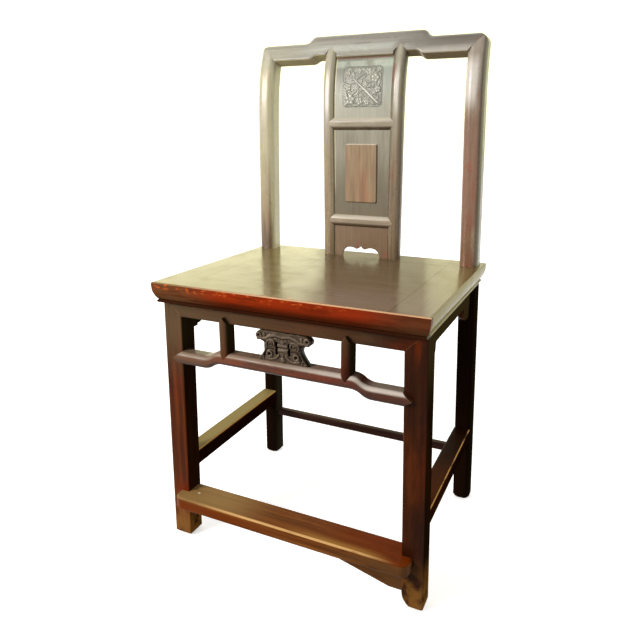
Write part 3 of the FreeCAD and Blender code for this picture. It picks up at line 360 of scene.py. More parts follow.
# Polished brown lacquer of the seat: olive to the left and a pale slanted band to the right as painted
# reflection, darker and dull in front of the splat, painted olive light on its right side, oxide red on the
# moulding
SEAT_TONES = ("#695530", "#746037", "#7f6b3e")
MOULDING = (Y, -0.1875, -0.1885)
MOULDING_FOOT = (Y, -0.1700, -0.1800)
SLANT = (1, 0.28, 0)
BY_SPLAT = {"where": ((SLANT, -0.040, 0.010), (SLANT, 0.190, 0.170)), "strength": 0.85}
SEAT_LAYERS = (
    # painted reflection: olive on the left
    {"tone": "#897a48", "where": ((X, 0.06, -0.24),), "strength": 0.75},
    {"tone": "#735f4b", "where": ((SLANT, -0.090, 0.030), (SLANT, 0.240, 0.160)), "strength": 0.7},
    # painted reflection: a pale slanted band to the right of the splat
    {"tone": "#a3935c", "where": ((SLANT, 0.155, 0.215), (SLANT, 0.260, 0.225)), "strength": 0.5},
    {"tone": "#6c583c", "breaks": ((90, 30, 0.56, 0.74),), "strength": 0.25},
    {"tone": "#8c7669", "where": ((X, -0.02, 0.12), (Y, -0.02, -0.16)), "strength": 0.5},
    {"tone": "#5a4b28", "where": ((Y, 0.1340, 0.1352), (Y, 0.1372, 0.1358)), "strength": 0.6},
    {"tone": "#5a4b28", "where": ((X, 0.1765, 0.1777), (X, 0.1797, 0.1783)), "strength": 0.5},
    # painted light: olive on the right side face
    {"tone": "#aa9e5a", "where": ((X, 0.2300, 0.2320),), "facing": RIGHT_FACE, "strength": 0.9},
    {"tone": "#982e0e", "where": (MOULDING, (Z, 0.5070, 0.5055)), "strength": 0.97},
    {"tone": "#45200f", "where": (MOULDING, (Z, 0.496, 0.482)), "strength": 0.85},
    {"tone": "#6b482d", "where": (MOULDING, (Z, 0.507, 0.505), (X, -0.09, -0.20)),
     "breaks": ((90, 20, 0.24, 0.44),), "strength": 0.9},
    {"tone": "#5c3d27", "where": (MOULDING, (Z, 0.507, 0.505), (X, 0.12, 0.215)), "strength": 0.8},
    {"tone": "#4c1c0c", "where": (MOULDING, (Z, 0.507, 0.505)), "breaks": ((55, 8, 0.52, 0.64),),
     "strength": 0.4},
    {"tone": "#d4632c", "where": (MOULDING, (Z, 0.494, 0.501), (X, 0.16, 0.0)),
     "breaks": ((11, 4, 0.56, 0.62),), "strength": 0.75},
    {"tone": "#e3b488", "where": ((X, -0.24, 0.02), (Z, 0.500, 0.503)), "facing": FRONT_ARRIS,
     "breaks": ((45, 40, 0.32, 0.44),), "strength": 0.9},
    {"tone": "#33190d", "where": (MOULDING_FOOT, (Z, 0.4800, 0.4775)), "strength": 0.9},
)
SEAT_DULL = (
    {"where": (MOULDING, (Z, 0.5075, 0.5060))},
    {"facing": RIGHT_FACE, "strength": 0.92},
)
seat_finish = [
    lacquered(f"rubbed_seat_lacquer_painted_reflection_{'xyz'[a]}", SEAT_TONES, a, SEAT_LAYERS, figure=(220, 14), roughness=0.17,
              gloss=0.24, seed=31.0, fibre_depth=0.02, wave_depth=0.06, dull=(SEAT_DULL[a], BY_SPLAT))
    for a in (X, Y)
]

# Lacquer of the footrest, worn through to golden bare wood along its front edge by shoes
footrest_finish = lacquered(
    "shoe_worn_lacquer", ("#5c3312", "#77421a", "#8f5826"), X, (
        {"tone": "#9c7e4e", "where": ((X, -0.01, -0.15), (Z, 0.096, 0.0995)), "strength": 0.8},
        {"tone": "#742a00", "where": ((X, 0.0, 0.17), (Z, 0.096, 0.0995)), "strength": 0.8},
        {"tone": "#743205", "where": ((X, 0.05, -0.15), (Z, 0.096, 0.093)), "strength": 0.8},
        {"tone": "#5f4429", "where": ((X, 0.04, 0.20), (Z, 0.096, 0.093)), "strength": 0.75},
        {"tone": "#3a2010", "breaks": ((60, 14, 0.58, 0.72),), "strength": 0.5},
        {"tone": "#b98a42",
         "where": ((Y, -0.180, -0.204), (X, 0.0, 0.08), (X, 0.205, 0.15), (Z, 0.0985, 0.0995)),
         "strength": 0.75},
        {"tone": "#e0b274", "where": ((X, -0.20, -0.08), (X, 0.215, 0.13)),
         "facing": ((0, -1, 1), 0.80, 0.93), "breaks": ((90, 30, 0.28, 0.44),), "strength": 0.95},
    ), figure=(170, 8), roughness=0.4, gloss=0.04, seed=41.0)

# Side stretchers: olive on the left top, a golden worn arris on the right, near black towards the rear of the
# right one, painted shade on right-facing faces and on the left one below its top
stretcher_finish = lacquered(
    "dark_lacquer_painted_shade_stretchers", FRAME_TONES, Y, FRAME_LAYERS[:1] + (
        {"tone": "#998954", "where": ((X, -0.15, -0.20), (Z, 0.1665, 0.1690)), "strength": 0.9},
        {"tone": "#3d1a02", "where": ((X, 0.15, 0.20), (Z, 0.1655, 0.1685)), "strength": 0.85},
        {"tone": "#120502", "where": ((X, 0.15, 0.20), (Y, -0.06, 0.06)), "strength": 0.85},
        # painted shade on right-facing faces
        {"tone": "#170a02", "where": ((X, 0.15, 0.20),), "facing": RIGHT_FACE, "strength": 0.75},
        {"tone": "#d9a45e", "facing": ((1, 0, 1), 0.86, 0.97), "breaks": ((60, 30, 0.34, 0.48),),
         "strength": 0.85},
        # painted shade: the left stretcher near black below its top
        {"tone": "#0e0603", "where": ((X, -0.18, -0.20), (Z, 0.168, 0.165)), "strength": 0.9},
    ), roughness=0.42, gloss=0.02, seed=47.0, dull=({"facing": RIGHT_FACE},))

# Hand-carved ornament: painted shade in its deep hollows and on right-facing faces, rubbed lighter where it
# stands out, with painted highlights on faces turned up to the left
ORNAMENT_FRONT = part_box("carved_ornament")[0][Y]
carving_finish = lacquered(
    "carved_dark_wood", ("#34271a", "#453625", "#564533"), X, (
        {"tone": "#857463", "where": ((Y, ORNAMENT_FRONT + 3.6 * MM, ORNAMENT_FRONT + 1.2 * MM),),
         "strength": 0.4},
        # painted highlight on faces turned up to the left
        {"tone": "#c2b29c", "facing": ((-0.3, -0.6, 0.75), 0.86, 0.99), "breaks": ((9, 6, 0.40, 0.60),),
         "strength": 0.5},
        # painted shade in the deep hollows and on right-facing faces
        {"tone": "#140b05", "where": ((Y, ORNAMENT_FRONT + 4.2 * MM, ORNAMENT_FRONT + 7.0 * MM),),
         "strength": 0.9},
        {"tone": "#1d120a", "facing": ((1, 0, 0), 0.45, 0.85), "strength": 0.75},
    ), figure=(18, 5), roughness=0.36, gloss=0.2, seed=53.0, wave_depth=0.3)

# Relief carving of the upper panel, in the same painted glare as its panel, with painted shade on its ground
# and on faces turned down to the left, and painted highlights on its high parts
relief_finish = lacquered(
    "lacquer_painted_glare_carving", ("#84877a", "#9b9d8f", "#b2b3a5"), Z, (
        # painted shade on the ground, painted highlights on the high parts, painted shade on faces turned
        # down to the left
        {"tone": "#62665a", "raised": (0.45, 0.05), "strength": 0.65},
        {"tone": "#dcdcd0", "raised": (0.9, 1.7), "strength": 0.6},
        {"tone": "#f6f4ec", "raised": (1.6, 2.0), "strength": 0.8},
        {"tone": "#5f5f50", "facing": ((-0.6, -0.5, -0.6), 0.66, 0.93), "strength": 0.6},
    ), figure=(30, 4), roughness=0.24, gloss=0.5, seed=59.0, wave_depth=0.2)

# Unlacquered wood under the seat and the bare end of the left peg
bare_finish = lacquered("bare_old_wood", ("#33200f", "#49301b", "#5e4226"), Y, roughness=0.6, gloss=0.2,
                        seed=61.0)
peg_finish = lacquered("bare_pale_peg", ("#b9a77f", "#cfc09a", "#ddd1b0"), Z, figure=(12, 1.5),
                       roughness=0.55, gloss=0.3, seed=67.0)

finishes = {
    "back_post_left": post_finish, "back_post_right": post_finish, "crest_rail": crest_finish,
    "splat_stile_left": stile_finish, "splat_stile_right": stile_finish,
    "splat_rail_lower": rail_finish, "splat_rail_upper": rail_finish,
    "splat_panel_lower": panel_finish, "splat_panel_middle": panel_finish, "splat_panel_upper": panel_finish,
    "panel_tablet": tablet_finish,
    "seat_panel": seat_finish[X], "seat_rail_front": seat_finish[X], "seat_rail_back": seat_finish[X],
    "seat_rail_left": seat_finish[Y], "seat_rail_right": seat_finish[Y],
    "seat_batten_left": bare_finish, "seat_batten_right": bare_finish,
    "front_leg_left": frame_finish[Z], "front_leg_right": frame_finish[Z],
    "strut_left": frame_finish[Z], "strut_right": frame_finish[Z],
    "front_apron_rail": frame_finish[X], "humpback_stretcher": hump_finish,
    "back_apron": frame_finish[X], "back_stretcher": dark_finish,
    "side_apron_left": frame_finish[Y], "side_apron_right": frame_finish[Y],
    "side_stretcher_left": stretcher_finish, "side_stretcher_right": stretcher_finish,
    "footrest": footrest_finish, "footrest_bracket": footrest_finish,
    "footrest_peg_left": peg_finish, "footrest_peg_right": footrest_finish,
    "carved_ornament": carving_finish,
}
for name, finish in finishes.items():
    solids[name].data.materials.clear()
    solids[name].data.materials.append(finish)


def piece(name, mesh, finish, slot, *replaced):
    """Adds a finished piece of the chair; its mesh is already in place."""
    mesh.materials.clear()
    mesh.materials.append(finish)
    made = bpy.data.objects.new(name, mesh)
    bpy.context.scene.collection.objects.link(made)
    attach(made, "root")
    if replaced:
        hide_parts(*replaced)


# Relief carving in the sunk field of the upper panel: a bough with blossoms and leaves
FIELD_HALF_X, FIELD_HALF_Z, FIELD_CORNER = 38.95, 35.45, 7.95
field_low, field_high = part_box("splat_panel_upper")
field_centre = (field_low[Z] + field_high[Z]) / 2
# heights of the forms, the share of them that is kept, the ground's height and how far it goes into the floor
BOUGH_RISE, TWIG_RISE, BEAD_RISE, PETAL_RISE, LEAF_RISE = 2.1, 1.3, 1.9, 1.5, 1.2
KEPT_SHARE, GROUND, SUNK = 0.8, 2.0, 0.6
# sizes of a blossom as shares of its radius; depth of a leaf's midrib, and shares of the leaf's half width
BEAD_SHARE, PETAL_PLACE, PETAL_SHARE, PETALS = 0.22, 0.56, 0.42, 5
MIDRIB_DEPTH, MIDRIB_SHARE, LEAST_WIDTH = 0.5, 0.16, 0.01
# width of the sloping rim, height under which the ground shows, height and pitch of its tool marks
RIM, FLAT = 1.2, 0.05
GROUND_MARKS, MARKS_X, MARKS_Z = 0.12, 1.9, 1.7
# where the panel's sunk floor is felt for, across the middle
FLOOR_PROBES = (-11.7, 3.1, 13.1)
# x, z and half width along the bough and each twig
BOUGH = ((-21, 17, 0.8), (-10, 6.5, 1.5), (3, -4, 2.1), (16, -16, 2.5), (30, -28, 2.1))
TWIGS = (
    ((-10, 6.5, 1.0), (-20, 6, 0.9), (-27, 3, 0.8)), ((3, -4, 1.4), (-8, -9, 1.2), (-16, -18, 0.9)),
    ((3, -4, 1.4), (12, 8, 1.1), (22, 12, 0.8)), ((16, -16, 1.5), (8, -23, 1.2), (0, -27, 0.9)),
    ((-15, 11, 1.0), (-2, 20, 0.9), (10, 26, 0.7)), ((16, -16, 1.4), (27, -8, 1.1), (31, 2, 0.8)),
)
# x, z, radius and turn of each blossom
BLOSSOMS = (
    (-24, -22, 10.5, 0.2), (-6, -25, 7.5, 0.9), (9, -27, 6.0, 0.4), (-29, 0, 7.0, 0.6), (24, 15, 9.0, 0.1),
    (10, 27, 7.0, 0.8), (-8, 28, 5.5, 0.3), (30, -5, 6.5, 0.5), (-30, 24, 5.5, 0.0), (31, 30, 5.0, 0.4),
)
# x, z, half length, half width and turn of each leaf
LEAVES = (
    (-16, -8, 8.0, 3.4, 0.7), (-33, -12, 6.5, 2.8, 2.0), (-13, -32, 6.5, 2.6, 0.1),
    (20, -28, 7.0, 2.8, 2.6), (14, 2, 7.5, 3.2, 0.5), (20, 27, 7.0, 2.8, 1.0), (-19, 22, 6.0, 2.4, 1.9),
    (12, 15, 7.0, 2.8, 2.2), (-3, 9, 6.0, 2.6, 1.2), (-22, 13, 6.0, 2.4, 0.2), (33, 9, 6.0, 2.4, 1.4),
    (-36, 12, 5.0, 2.2, 1.5), (0, -15, 6.0, 2.5, 2.4), (29, -20, 5.5, 2.3, 0.9), (2, 17, 5.0, 2.2, 0.3),
    (-33, -30, 5.0, 2.2, 0.8), (-10, -2, 6.0, 2.6, 0.9), (-24, -9, 6.0, 2.5, 2.7),
    (-9, -16, 5.5, 2.4, 1.9), (10, -8, 5.5, 2.3, 2.3), (21, 3, 6.0, 2.5, 1.2), (5, 7, 6.0, 2.5, 2.0),
    (-26, 31, 5.5, 2.3, 0.2), (1, 30, 5.0, 2.2, 2.8), (25, 24, 5.5, 2.4, 0.6), (34, -30, 4.5, 2.0, 2.2),
    (-14, 30, 5.0, 2.2, 1.3), (34, 20, 5.0, 2.2, 1.7), (-35, 4, 4.5, 2.0, 1.0), (24, -12, 5.5, 2.3, 2.5),
    (-20, -30, 5.0, 2.2, 2.9), (13, 20, 5.0, 2.2, 1.6),
)


def dome(reach, height):
    """Height of a rounded form, from how far a point is from its middle as a share of its reach."""
    return height * np.sqrt(np.clip(1 - reach ** 2, 0, None))


def bough_height(x, z, path, height):
    """A rounded, tapering bough through points of x, z and half-width."""
    best = np.zeros_like(x)
    for (x0, z0, w0), (x1, z1, w1) in zip(path[:-1], path[1:]):
        length = (x1 - x0) ** 2 + (z1 - z0) ** 2
        t = np.clip(((x - x0) * (x1 - x0) + (z - z0) * (z1 - z0)) / length, 0, 1)
        away = np.hypot(x - x0 - t * (x1 - x0), z - z0 - t * (z1 - z0))
        best = np.maximum(best, dome(away / (w0 + t * (w1 - w0)), height))
    return best


def blossom_height(x, z, cx, cz, radius, turn):
    """Domed petals around a bead."""
    best = dome(np.hypot(x - cx, z - cz) / (BEAD_SHARE * radius), BEAD_RISE)
    for k in range(PETALS):
        angle = turn + 2 * math.pi * k / PETALS
        px = cx + PETAL_PLACE * radius * math.cos(angle)
        pz = cz + PETAL_PLACE * radius * math.sin(angle)
        best = np.maximum(best, dome(np.hypot(x - px, z - pz) / (PETAL_SHARE * radius), PETAL_RISE))
    return best


def leaf_height(x, z, cx, cz, half_length, half_width, turn):
    """A pointed leaf with a sunk midrib."""
    u = ((x - cx) * math.cos(turn) + (z - cz) * math.sin(turn)) / half_length
    v = ((z - cz) * math.cos(turn) - (x - cx) * math.sin(turn)) / half_width
    body = dome(np.abs(v) / np.clip(1 - u ** 2, LEAST_WIDTH, None), LEAF_RISE) * (np.abs(u) < 1)
    return body - MIDRIB_DEPTH * np.exp(-(v / MIDRIB_SHARE) ** 2) * (body > 0)


def closed_sheet(name, front, behind, columns, rows):
    """A mesh of two grids of points, the front one and the one behind it, closed round the rim."""
    count = rows * columns
    faces = []
    for r in range(rows - 1):
        for c in range(columns - 1):
            i = r * columns + c
            faces.append((i, i + 1, i + columns + 1, i + columns))
            faces.append((count + i, count + i + columns, count + i + columns + 1, count + i + 1))
    rim = list(range(columns)) + [r * columns + columns - 1 for r in range(1, rows)]
    rim += [count - 1 - c for c in range(1, columns)] + [r * columns for r in range(rows - 2, 0, -1)]
    for i, j in zip(rim, rim[1:] + rim[:1]):
        faces.append((j, i, count + i, count + j))
    mesh = bpy.data.meshes.new(name)
    mesh.from_pydata(front + behind, [], faces)
    mesh.polygons.foreach_set("use_smooth", [True] * len(faces))
    return mesh


def relief(columns=150, rows=138):
    """The carved field as one closed sheet, raised from the floor that the panel's solid leaves for it."""
    panel = solids["splat_panel_upper"].data
    tree = BVHTree.FromPolygons([tuple(v.co) for v in panel.vertices],
                                [tuple(p.vertices) for p in panel.polygons])
    zs = np.linspace(-FIELD_HALF_Z, FIELD_HALF_Z, rows)
    past = np.clip(np.abs(zs) - (FIELD_HALF_Z - FIELD_CORNER), 0, None)
    half = FIELD_HALF_X - FIELD_CORNER + dome(np.minimum(past / FIELD_CORNER, 1.0), FIELD_CORNER)
    x = np.linspace(-1, 1, columns)[None, :] * half[:, None]
    z = np.repeat(zs[:, None], columns, axis=1)
    height = bough_height(x, z, BOUGH, BOUGH_RISE)
    for twig in TWIGS:
        height = np.maximum(height, bough_height(x, z, twig, TWIG_RISE))
    for blossom in BLOSSOMS:
        height = np.maximum(height, blossom_height(x, z, *blossom))
    for leaf in LEAVES:
        height = np.maximum(height, leaf_height(x, z, *leaf))
    near = np.minimum(half[:, None] - np.abs(x), FIELD_HALF_Z - np.abs(z))
    tooled = GROUND_MARKS * np.sin(x * MARKS_X) * np.cos(z * MARKS_Z) + GROUND_MARKS
    height = np.where(height > FLAT, height, tooled) * np.clip(near / RIM, 0, 1)
    front, behind = [], []
    for r in range(rows):
        pz = field_centre + zs[r] * MM
        starts = [Vector((px * MM, -1.0, pz)) for px in FLOOR_PROBES]
        hits = [tree.ray_cast(spot, Vector((0.0, 1.0, 0.0)))[0] for spot in starts]
        floor = max(hit[Y] for hit in hits if hit)
        for c in range(columns):
            px = x[r, c] * MM
            front.append((px, floor - (GROUND + KEPT_SHARE * height[r, c]) * MM, pz))
            behind.append((px, floor + SUNK * MM, pz))
    mesh = closed_sheet("splat_relief", front, behind, columns, rows)
    cut = mesh.attributes.new("carved_height", "FLOAT", "POINT")
    cut.data.foreach_set("value", np.concatenate([height.ravel(), np.zeros(rows * columns)]))
    return mesh


piece("splat_relief", relief(), relief_finish, "back_lacquer")

# Carved scroll ornament between the apron and the humpback stretcher
SPIRAL_STEPS, RING_STEPS = 40, 10
WELD = 1e-6


def scroll_tree():
    """A tapering scroll that winds in towards its eye."""
    tree = bpy.data.node_groups.new("carved_scroll", "GeometryNodeTree")
    face = tree.interface
    for label in ("Outer Radius", "Inner Radius", "Turns", "Thickness", "Eye Share"):
        face.new_socket(label, in_out="INPUT", socket_type="NodeSocketFloat")
    face.new_socket("Wood", in_out="INPUT", socket_type="NodeSocketMaterial")
    face.new_socket("Geometry", in_out="OUTPUT", socket_type="NodeSocketGeometry")
    size = add(tree, "NodeGroupInput").outputs
    spiral = add(tree, "GeometryNodeCurveSpiral", {
        "Resolution": SPIRAL_STEPS, "Rotations": size["Turns"], "Start Radius": size["Outer Radius"],
        "End Radius": size["Inner Radius"], "Height": 0.0,
    })
    along = add(tree, "GeometryNodeSplineParameter").outputs["Factor"]
    taper = add(tree, "ShaderNodeMapRange", {0: along, 1: 0.0, 2: 1.0, 3: 1.0, 4: size["Eye Share"]})
    ring = add(tree, "GeometryNodeCurvePrimitiveCircle", {
        "Resolution": RING_STEPS, "Radius": size["Thickness"],
    })
    tube = add(tree, "GeometryNodeCurveToMesh", {
        "Curve": spiral.outputs[0], "Profile Curve": ring.outputs[0], "Scale": taper.outputs[0],
        "Fill Caps": True,
    })
    smooth = add(tree, "GeometryNodeSetShadeSmooth", {0: tube.outputs[0]})
    real = add(tree, "GeometryNodeRealizeInstances", {0: smooth.outputs[0]})
    coat = add(tree, "GeometryNodeSetMaterial", {0: real.outputs[0], "Material": size["Wood"]})
    add(tree, "NodeGroupOutput", {0: coat.outputs[0]})
    return tree


def made_plain(shape):
    """The evaluated object as a plain mesh; the object itself is removed."""
    bpy.context.view_layer.update()
    evaluated = shape.evaluated_get(bpy.context.evaluated_depsgraph_get())
    mesh = bpy.data.meshes.new_from_object(evaluated)
    bpy.data.objects.remove(shape)
    return mesh


def scroll(tree, outer, inner, turns, thickness, eye):
    """One scroll as a plain mesh; radii and thickness in millimetres."""
    holder = bpy.data.objects.new("scroll", bpy.data.meshes.new("scroll"))
    bpy.context.scene.collection.objects.link(holder)
    modifier = holder.modifiers.new("scroll", "NODES")
    modifier.node_group = tree
    values = (outer * MM, inner * MM, turns, thickness * MM, eye, carving_finish)
    sockets = [i for i in tree.interface.items_tree if i.in_out == "INPUT"]
    for socket, value in zip(sockets, values):
        modifier[socket.identifier] = value
    return made_plain(holder)


ornament_z = (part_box("humpback_stretcher")[1][Z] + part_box("front_apron_rail")[0][Z]) / 2
# height above the middle and half width there
OUTLINE = ((24.6, 41), (22.5, 47), (18, 51), (12, 50), (9, 45.5), (7.5, 39), (4.5, 35), (1, 33.2), (-3, 33),
           (-9, 35.5), (-16, 40), (-22.5, 45), (-24.6, 47))
# points of x, z and half width along each ridge of the right half, and its height
RIDGES = (
    (((38, 12, 2.2), (30, 12.8, 2.8), (22, 18, 3.0), (13, 20.5, 2.8), (6, 18.8, 2.2), (0, 17.8, 2.0)), 2.5),
    (((14.6, 2.5, 1.5), (14.4, 7, 2.0), (17, 11, 2.3), (22, 12, 2.4), (27, 9.5, 2.2), (29.3, 4.5, 2.0),
      (28, -0.5, 1.5)), 3.0),
    (((0, 3.6, 2.8), (8.2, 3.6, 2.4)), 2.1), (((0, -5.2, 2.4), (8.2, -5.2, 2.0)), 1.7),
    (((30, -19, 1.8), (21, -21, 2.2), (12, -18, 2.1), (6.5, -12.5, 1.6)), 2.6),
    (((31.5, -3.5, 1.6), (34, -10.5, 2.2), (38.5, -16.5, 2.0), (43, -22, 1.8)), 2.2),
)
# the same for each hollow, and its depth
HOLLOWS = (
    (((11.3, 7, 2.1), (11.3, -10.5, 2.3)), 6.5), (((43.5, 16.3, 2.0), (43.7, 16.3, 2.0)), 4.0),
    (((21.5, 4.2, 1.5), (21.7, 4.2, 1.5)), 4.0), (((24, -12.3, 2.2), (24.2, -12.3, 2.2)), 5.0),
    (((0, -0.8, 1.3), (8.5, -0.8, 1.2)), 2.4), (((36.5, 8.4, 1.3), (32, 7, 1.5)), 3.0),
    (((0, 14.8, 1.0), (9, 15.6, 1.0), (17, 14.6, 0.9), (26, 13.4, 0.8)), 1.8),
    (((0, -8.8, 1.0), (5, -8.8, 0.9)), 1.6), (((30.5, -9, 1.2), (34, -17.5, 1.5), (37, -22, 1.3)), 3.2),
    (((16.5, -4, 1.2), (25, -4.5, 1.2), (30, -6, 1.0)), 2.6),
)
# x, z, reach and height of each bead
BEADS = ((0, 10.8, 4.4, 2.2), (5.8, 12.2, 2.6, 1.6), (0, -20.5, 5.0, 2.6), (0, -12.6, 3.0, 1.9),
         (33.5, 18.2, 3.4, 1.9), (41, -23, 2.4, 1.4))
# centre x and z, outer and inner radius, turns, thickness, share left at the eye, turn in degrees
SCROLLS = (
    (43.5, 16.3, 7.8, 2.6, 1.35, 2.4, 0.7, 60), (21.5, 4.2, 5.4, 1.9, 1.3, 1.6, 0.7, 215),
    (24.0, -12.3, 6.9, 4.4, 1.0, 2.2, 0.95, 20), (37.0, -19.5, 4.4, 1.5, 1.2, 1.5, 0.6, 120),
)
# depths of the body's rim, of its back and of the scrolls behind the front
CARVED_BASE, CARVED_BACK, SCROLL_SINK = 8.4, 14.5, 3.9
# rise of the body, width of its rounded edge, height of the tool marks, rows that smooth the outline
CARVED_BODY, CARVED_EDGE, TOOL_MARKS, SMOOTHING = 4.2, 5.0, 0.18, 7


def carved_body(columns=180, rows=110):
    """The rounded body of the ornament with its ridges, beads and hollows, mirrored about the middle."""
    zs = np.linspace(OUTLINE[-1][0], OUTLINE[0][0], rows)
    half = np.interp(zs, *zip(*reversed(OUTLINE)))
    padded = np.pad(half, SMOOTHING // 2, mode="edge")
    half = np.convolve(padded, np.full(SMOOTHING, 1 / SMOOTHING), mode="valid")
    x = np.linspace(-1, 1, columns)[None, :] * half[:, None]
    z = np.repeat(zs[:, None], columns, axis=1)
    side = np.abs(x)
    high = np.zeros_like(x)
    for path, rise in RIDGES:
        high = np.maximum(high, bough_height(side, z, path, rise))
    for cx, cz, reach, rise in BEADS:
        high = np.maximum(high, dome(np.hypot(side - cx, z - cz) / reach, rise))
    deep = np.zeros_like(x)
    for path, depth in HOLLOWS:
        deep = np.maximum(deep, bough_height(side, z, path, depth))
    edge = np.clip((half[:, None] - side) / CARVED_EDGE, 0, 1)
    tooled = TOOL_MARKS * np.sin(1.7 * x + 0.9 * z) * np.cos(1.3 * z - 0.6 * x)
    rise = (CARVED_BODY + high + tooled) * np.sqrt(1 - (1 - edge) ** 2) - deep
    front = [(px * MM, ORNAMENT_FRONT + (CARVED_BASE - h) * MM, ornament_z + pz * MM)
             for px, pz, h in zip(x.ravel(), z.ravel(), rise.ravel())]
    behind = [(px, ORNAMENT_FRONT + CARVED_BACK * MM, pz) for px, _, pz in front]
    return closed_sheet("carved_body", front, behind, columns, rows)


def ornament():
    """Scrolls wound on a deeply carved body."""
    tree = scroll_tree()
    to_front = Matrix.Rotation(math.radians(90), 4, "X")
    body = bmesh.new()
    body.from_mesh(carved_body())
    for x, z, outer, inner, turns, thick, eye, turn in SCROLLS:
        one = scroll(tree, outer - thick, inner, turns, thick, eye)
        spot = Matrix.Translation((x * MM, ORNAMENT_FRONT + SCROLL_SINK * MM, ornament_z + z * MM))
        one.transform(spot @ Matrix.Rotation(math.radians(turn), 4, "Y") @ to_front)
        body.from_mesh(one)
        one.transform(Matrix.Scale(-1, 4, (1, 0, 0)))
        body.from_mesh(one)
    bmesh.ops.remove_doubles(body, verts=body.verts, dist=WELD)
    bmesh.ops.recalc_face_normals(body, faces=body.faces)
    for face in body.faces:
        face.smooth = True
    mesh = bpy.data.meshes.new("scroll_ornament")
    body.to_mesh(mesh)
    body.free()
    return mesh


piece("scroll_ornament", ornament(), carving_finish, "carving_wood", "carved_ornament")

# Camera where the photograph was taken from
lens = bpy.data.cameras.new("camera")
lens.sensor_width = 36.0
lens.lens = 33.70
camera = bpy.data.objects.new("camera", lens)
camera.location = (0.4326, -0.9593, 0.7483)
camera.rotation_euler = (math.radians(72.52), 0.0, math.radians(25.23))
bpy.context.scene.collection.objects.link(camera)
bpy.context.scene.camera = camera

# Soft boxes, each aimed at the seat: name, place, width, height, watts and colour
AIM = Vector((0.0, 0.0, 0.5))
SOFT_BOXES = (
    ("key_light", (-1.3, -1.7, 1.9), 1.4, 1.6, 17.0, "#fff6ea"),
    ("glint_light", (-1.35, -1.85, 1.30), 0.6, 0.6, 40.0, "#fffaf2"),
    ("window_light", (-1.7, 1.8, 1.1), 1.6, 1.3, 6.0, "#f6f1c6"),
    ("side_light", (2.0, 0.5, 1.1), 1.2, 1.4, 7.0, "#f4f0c0"),
)
for name, place, width, height, watts, code in SOFT_BOXES:
    lamp = bpy.data.lights.new(name, "AREA")
    lamp.shape = "RECTANGLE"
    lamp.size, lamp.size_y = width, height
    lamp.energy = watts
    lamp.color = tone(code)[:3]
    held = bpy.data.objects.new(name, lamp)
    held.location = place
    held.rotation_euler = (AIM - Vector(place)).to_track_quat("-Z", "Y").to_euler()
    held.visible_camera = False
    bpy.context.scene.collection.objects.link(held)


def seen(tree):
    """One for what the eye, a gloss or glass shows, nought for the light that falls on things."""
    path = add(tree, "ShaderNodeLightPath").outputs
    plain = {0: path["Is Camera Ray"], 1: path["Is Glossy Ray"]}
    either = add(tree, "ShaderNodeMath", plain, operation="MAXIMUM")
    glass = {0: either.outputs[0], 1: path["Is Transmission Ray"]}
    return add(tree, "ShaderNodeMath", glass, operation="MAXIMUM").outputs[0]


# Studio: a white backdrop, brightest and creamy behind the chair, that lights it less from the front
SWEEP_FROM, SWEEP_TO = -0.2, 0.35
FRONT_LIGHT, BACK_LIGHT = 0.26, 1.0
FRONT_GLARE, BACK_GLARE = 1.0, 1.55
CREAM_FROM, CREAM_TO = 0.35, 0.6
CREAM_GREEN, CREAM_BLUE = 0.99, 0.66
world = bpy.data.worlds.new("studio")
bpy.context.scene.world = world
world.use_nodes = True
sky = world.node_tree
sky.nodes.clear()
spread = add(sky, "ShaderNodeSeparateXYZ", {0: add(sky, "ShaderNodeTexCoord").outputs["Generated"]})
back = spread.outputs[Y]
sweep = add(sky, "ShaderNodeMapRange", {
    0: back, 1: SWEEP_FROM, 2: SWEEP_TO, 3: FRONT_LIGHT, 4: BACK_LIGHT,
}, interpolation_type="SMOOTHSTEP")
fill = add(sky, "ShaderNodeBackground", {"Color": tone("#ffffff"), "Strength": sweep.outputs[0]})
glare = add(sky, "ShaderNodeMapRange", {
    0: back, 1: SWEEP_FROM, 2: SWEEP_TO, 3: FRONT_GLARE, 4: BACK_GLARE,
}, interpolation_type="SMOOTHSTEP")
blue = add(sky, "ShaderNodeMapRange", {
    0: back, 1: CREAM_FROM, 2: CREAM_TO, 3: 1.0, 4: CREAM_BLUE,
}, interpolation_type="SMOOTHSTEP")
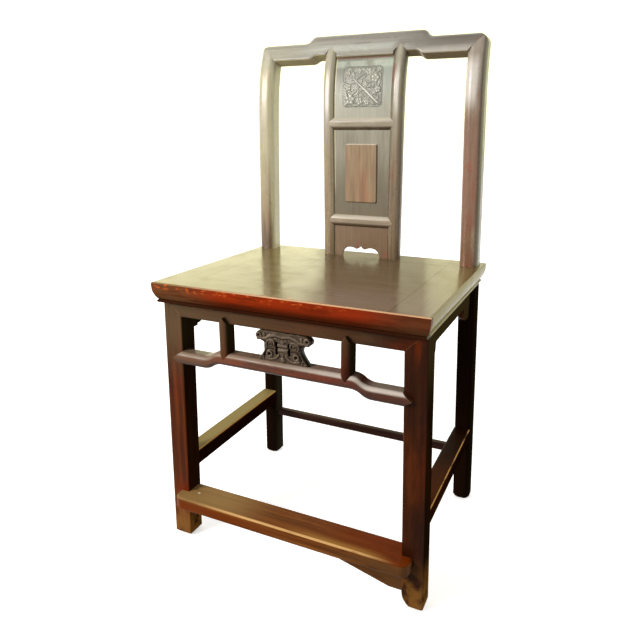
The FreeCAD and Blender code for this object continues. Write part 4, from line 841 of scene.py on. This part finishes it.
cream = add(sky, "ShaderNodeCombineColor", {"Red": 1.0, "Green": CREAM_GREEN, "Blue": blue.outputs[0]})
backdrop = add(sky, "ShaderNodeBackground", {"Color": cream.outputs[0], "Strength": glare.outputs[0]})
room = add(sky, "ShaderNodeMixShader", {0: seen(sky), 1: fill.outputs[0], 2: backdrop.outputs[0]})
add(sky, "ShaderNodeOutputWorld", {"Surface": room.outputs[0]})

# Pale floor: white to the eye, with the chair's soft shadow, and grey as a source of bounced light
FLOOR_HALF = 20.0
GLOW_FROM, GLOW_TO = 0.5, 2.5
GLOW_NEAR, GLOW_FAR = 0.55, 1.0
paper = bpy.data.materials.new("pale_floor_paper")
paper.use_nodes = True
sheet = paper.node_tree
sheet.nodes.clear()
dim = add(sheet, "ShaderNodeBsdfDiffuse", {"Color": tone("#8c8a86")})
pale = add(sheet, "ShaderNodeBsdfDiffuse", {"Color": tone("#f4f3f0")})
spot = add(sheet, "ShaderNodeTexCoord").outputs["Object"]
away = add(sheet, "ShaderNodeVectorMath", {0: spot}, operation="LENGTH")
rise = add(sheet, "ShaderNodeMapRange", {
    0: away.outputs["Value"], 1: GLOW_FROM, 2: GLOW_TO, 3: GLOW_NEAR, 4: GLOW_FAR,
}, interpolation_type="SMOOTHSTEP")
glow = add(sheet, "ShaderNodeEmission", {"Color": tone("#ffffff"), "Strength": rise.outputs[0]})
lit = add(sheet, "ShaderNodeAddShader", {0: pale.outputs[0], 1: glow.outputs[0]})
mixed = add(sheet, "ShaderNodeMixShader", {0: seen(sheet), 1: dim.outputs[0], 2: lit.outputs[0]})
add(sheet, "ShaderNodeOutputMaterial", {"Surface": mixed.outputs[0]})
ground = bpy.data.meshes.new("floor")
corners = [(x * FLOOR_HALF, y * FLOOR_HALF, 0.0) for x, y in ((-1, -1), (1, -1), (1, 1), (-1, 1))]
ground.from_pydata(corners, [], [(0, 1, 2, 3)])
ground.materials.append(paper)
floor = bpy.data.objects.new("floor", ground)
bpy.context.scene.collection.objects.link(floor)

bpy.context.scene.view_settings.view_transform = "Standard"
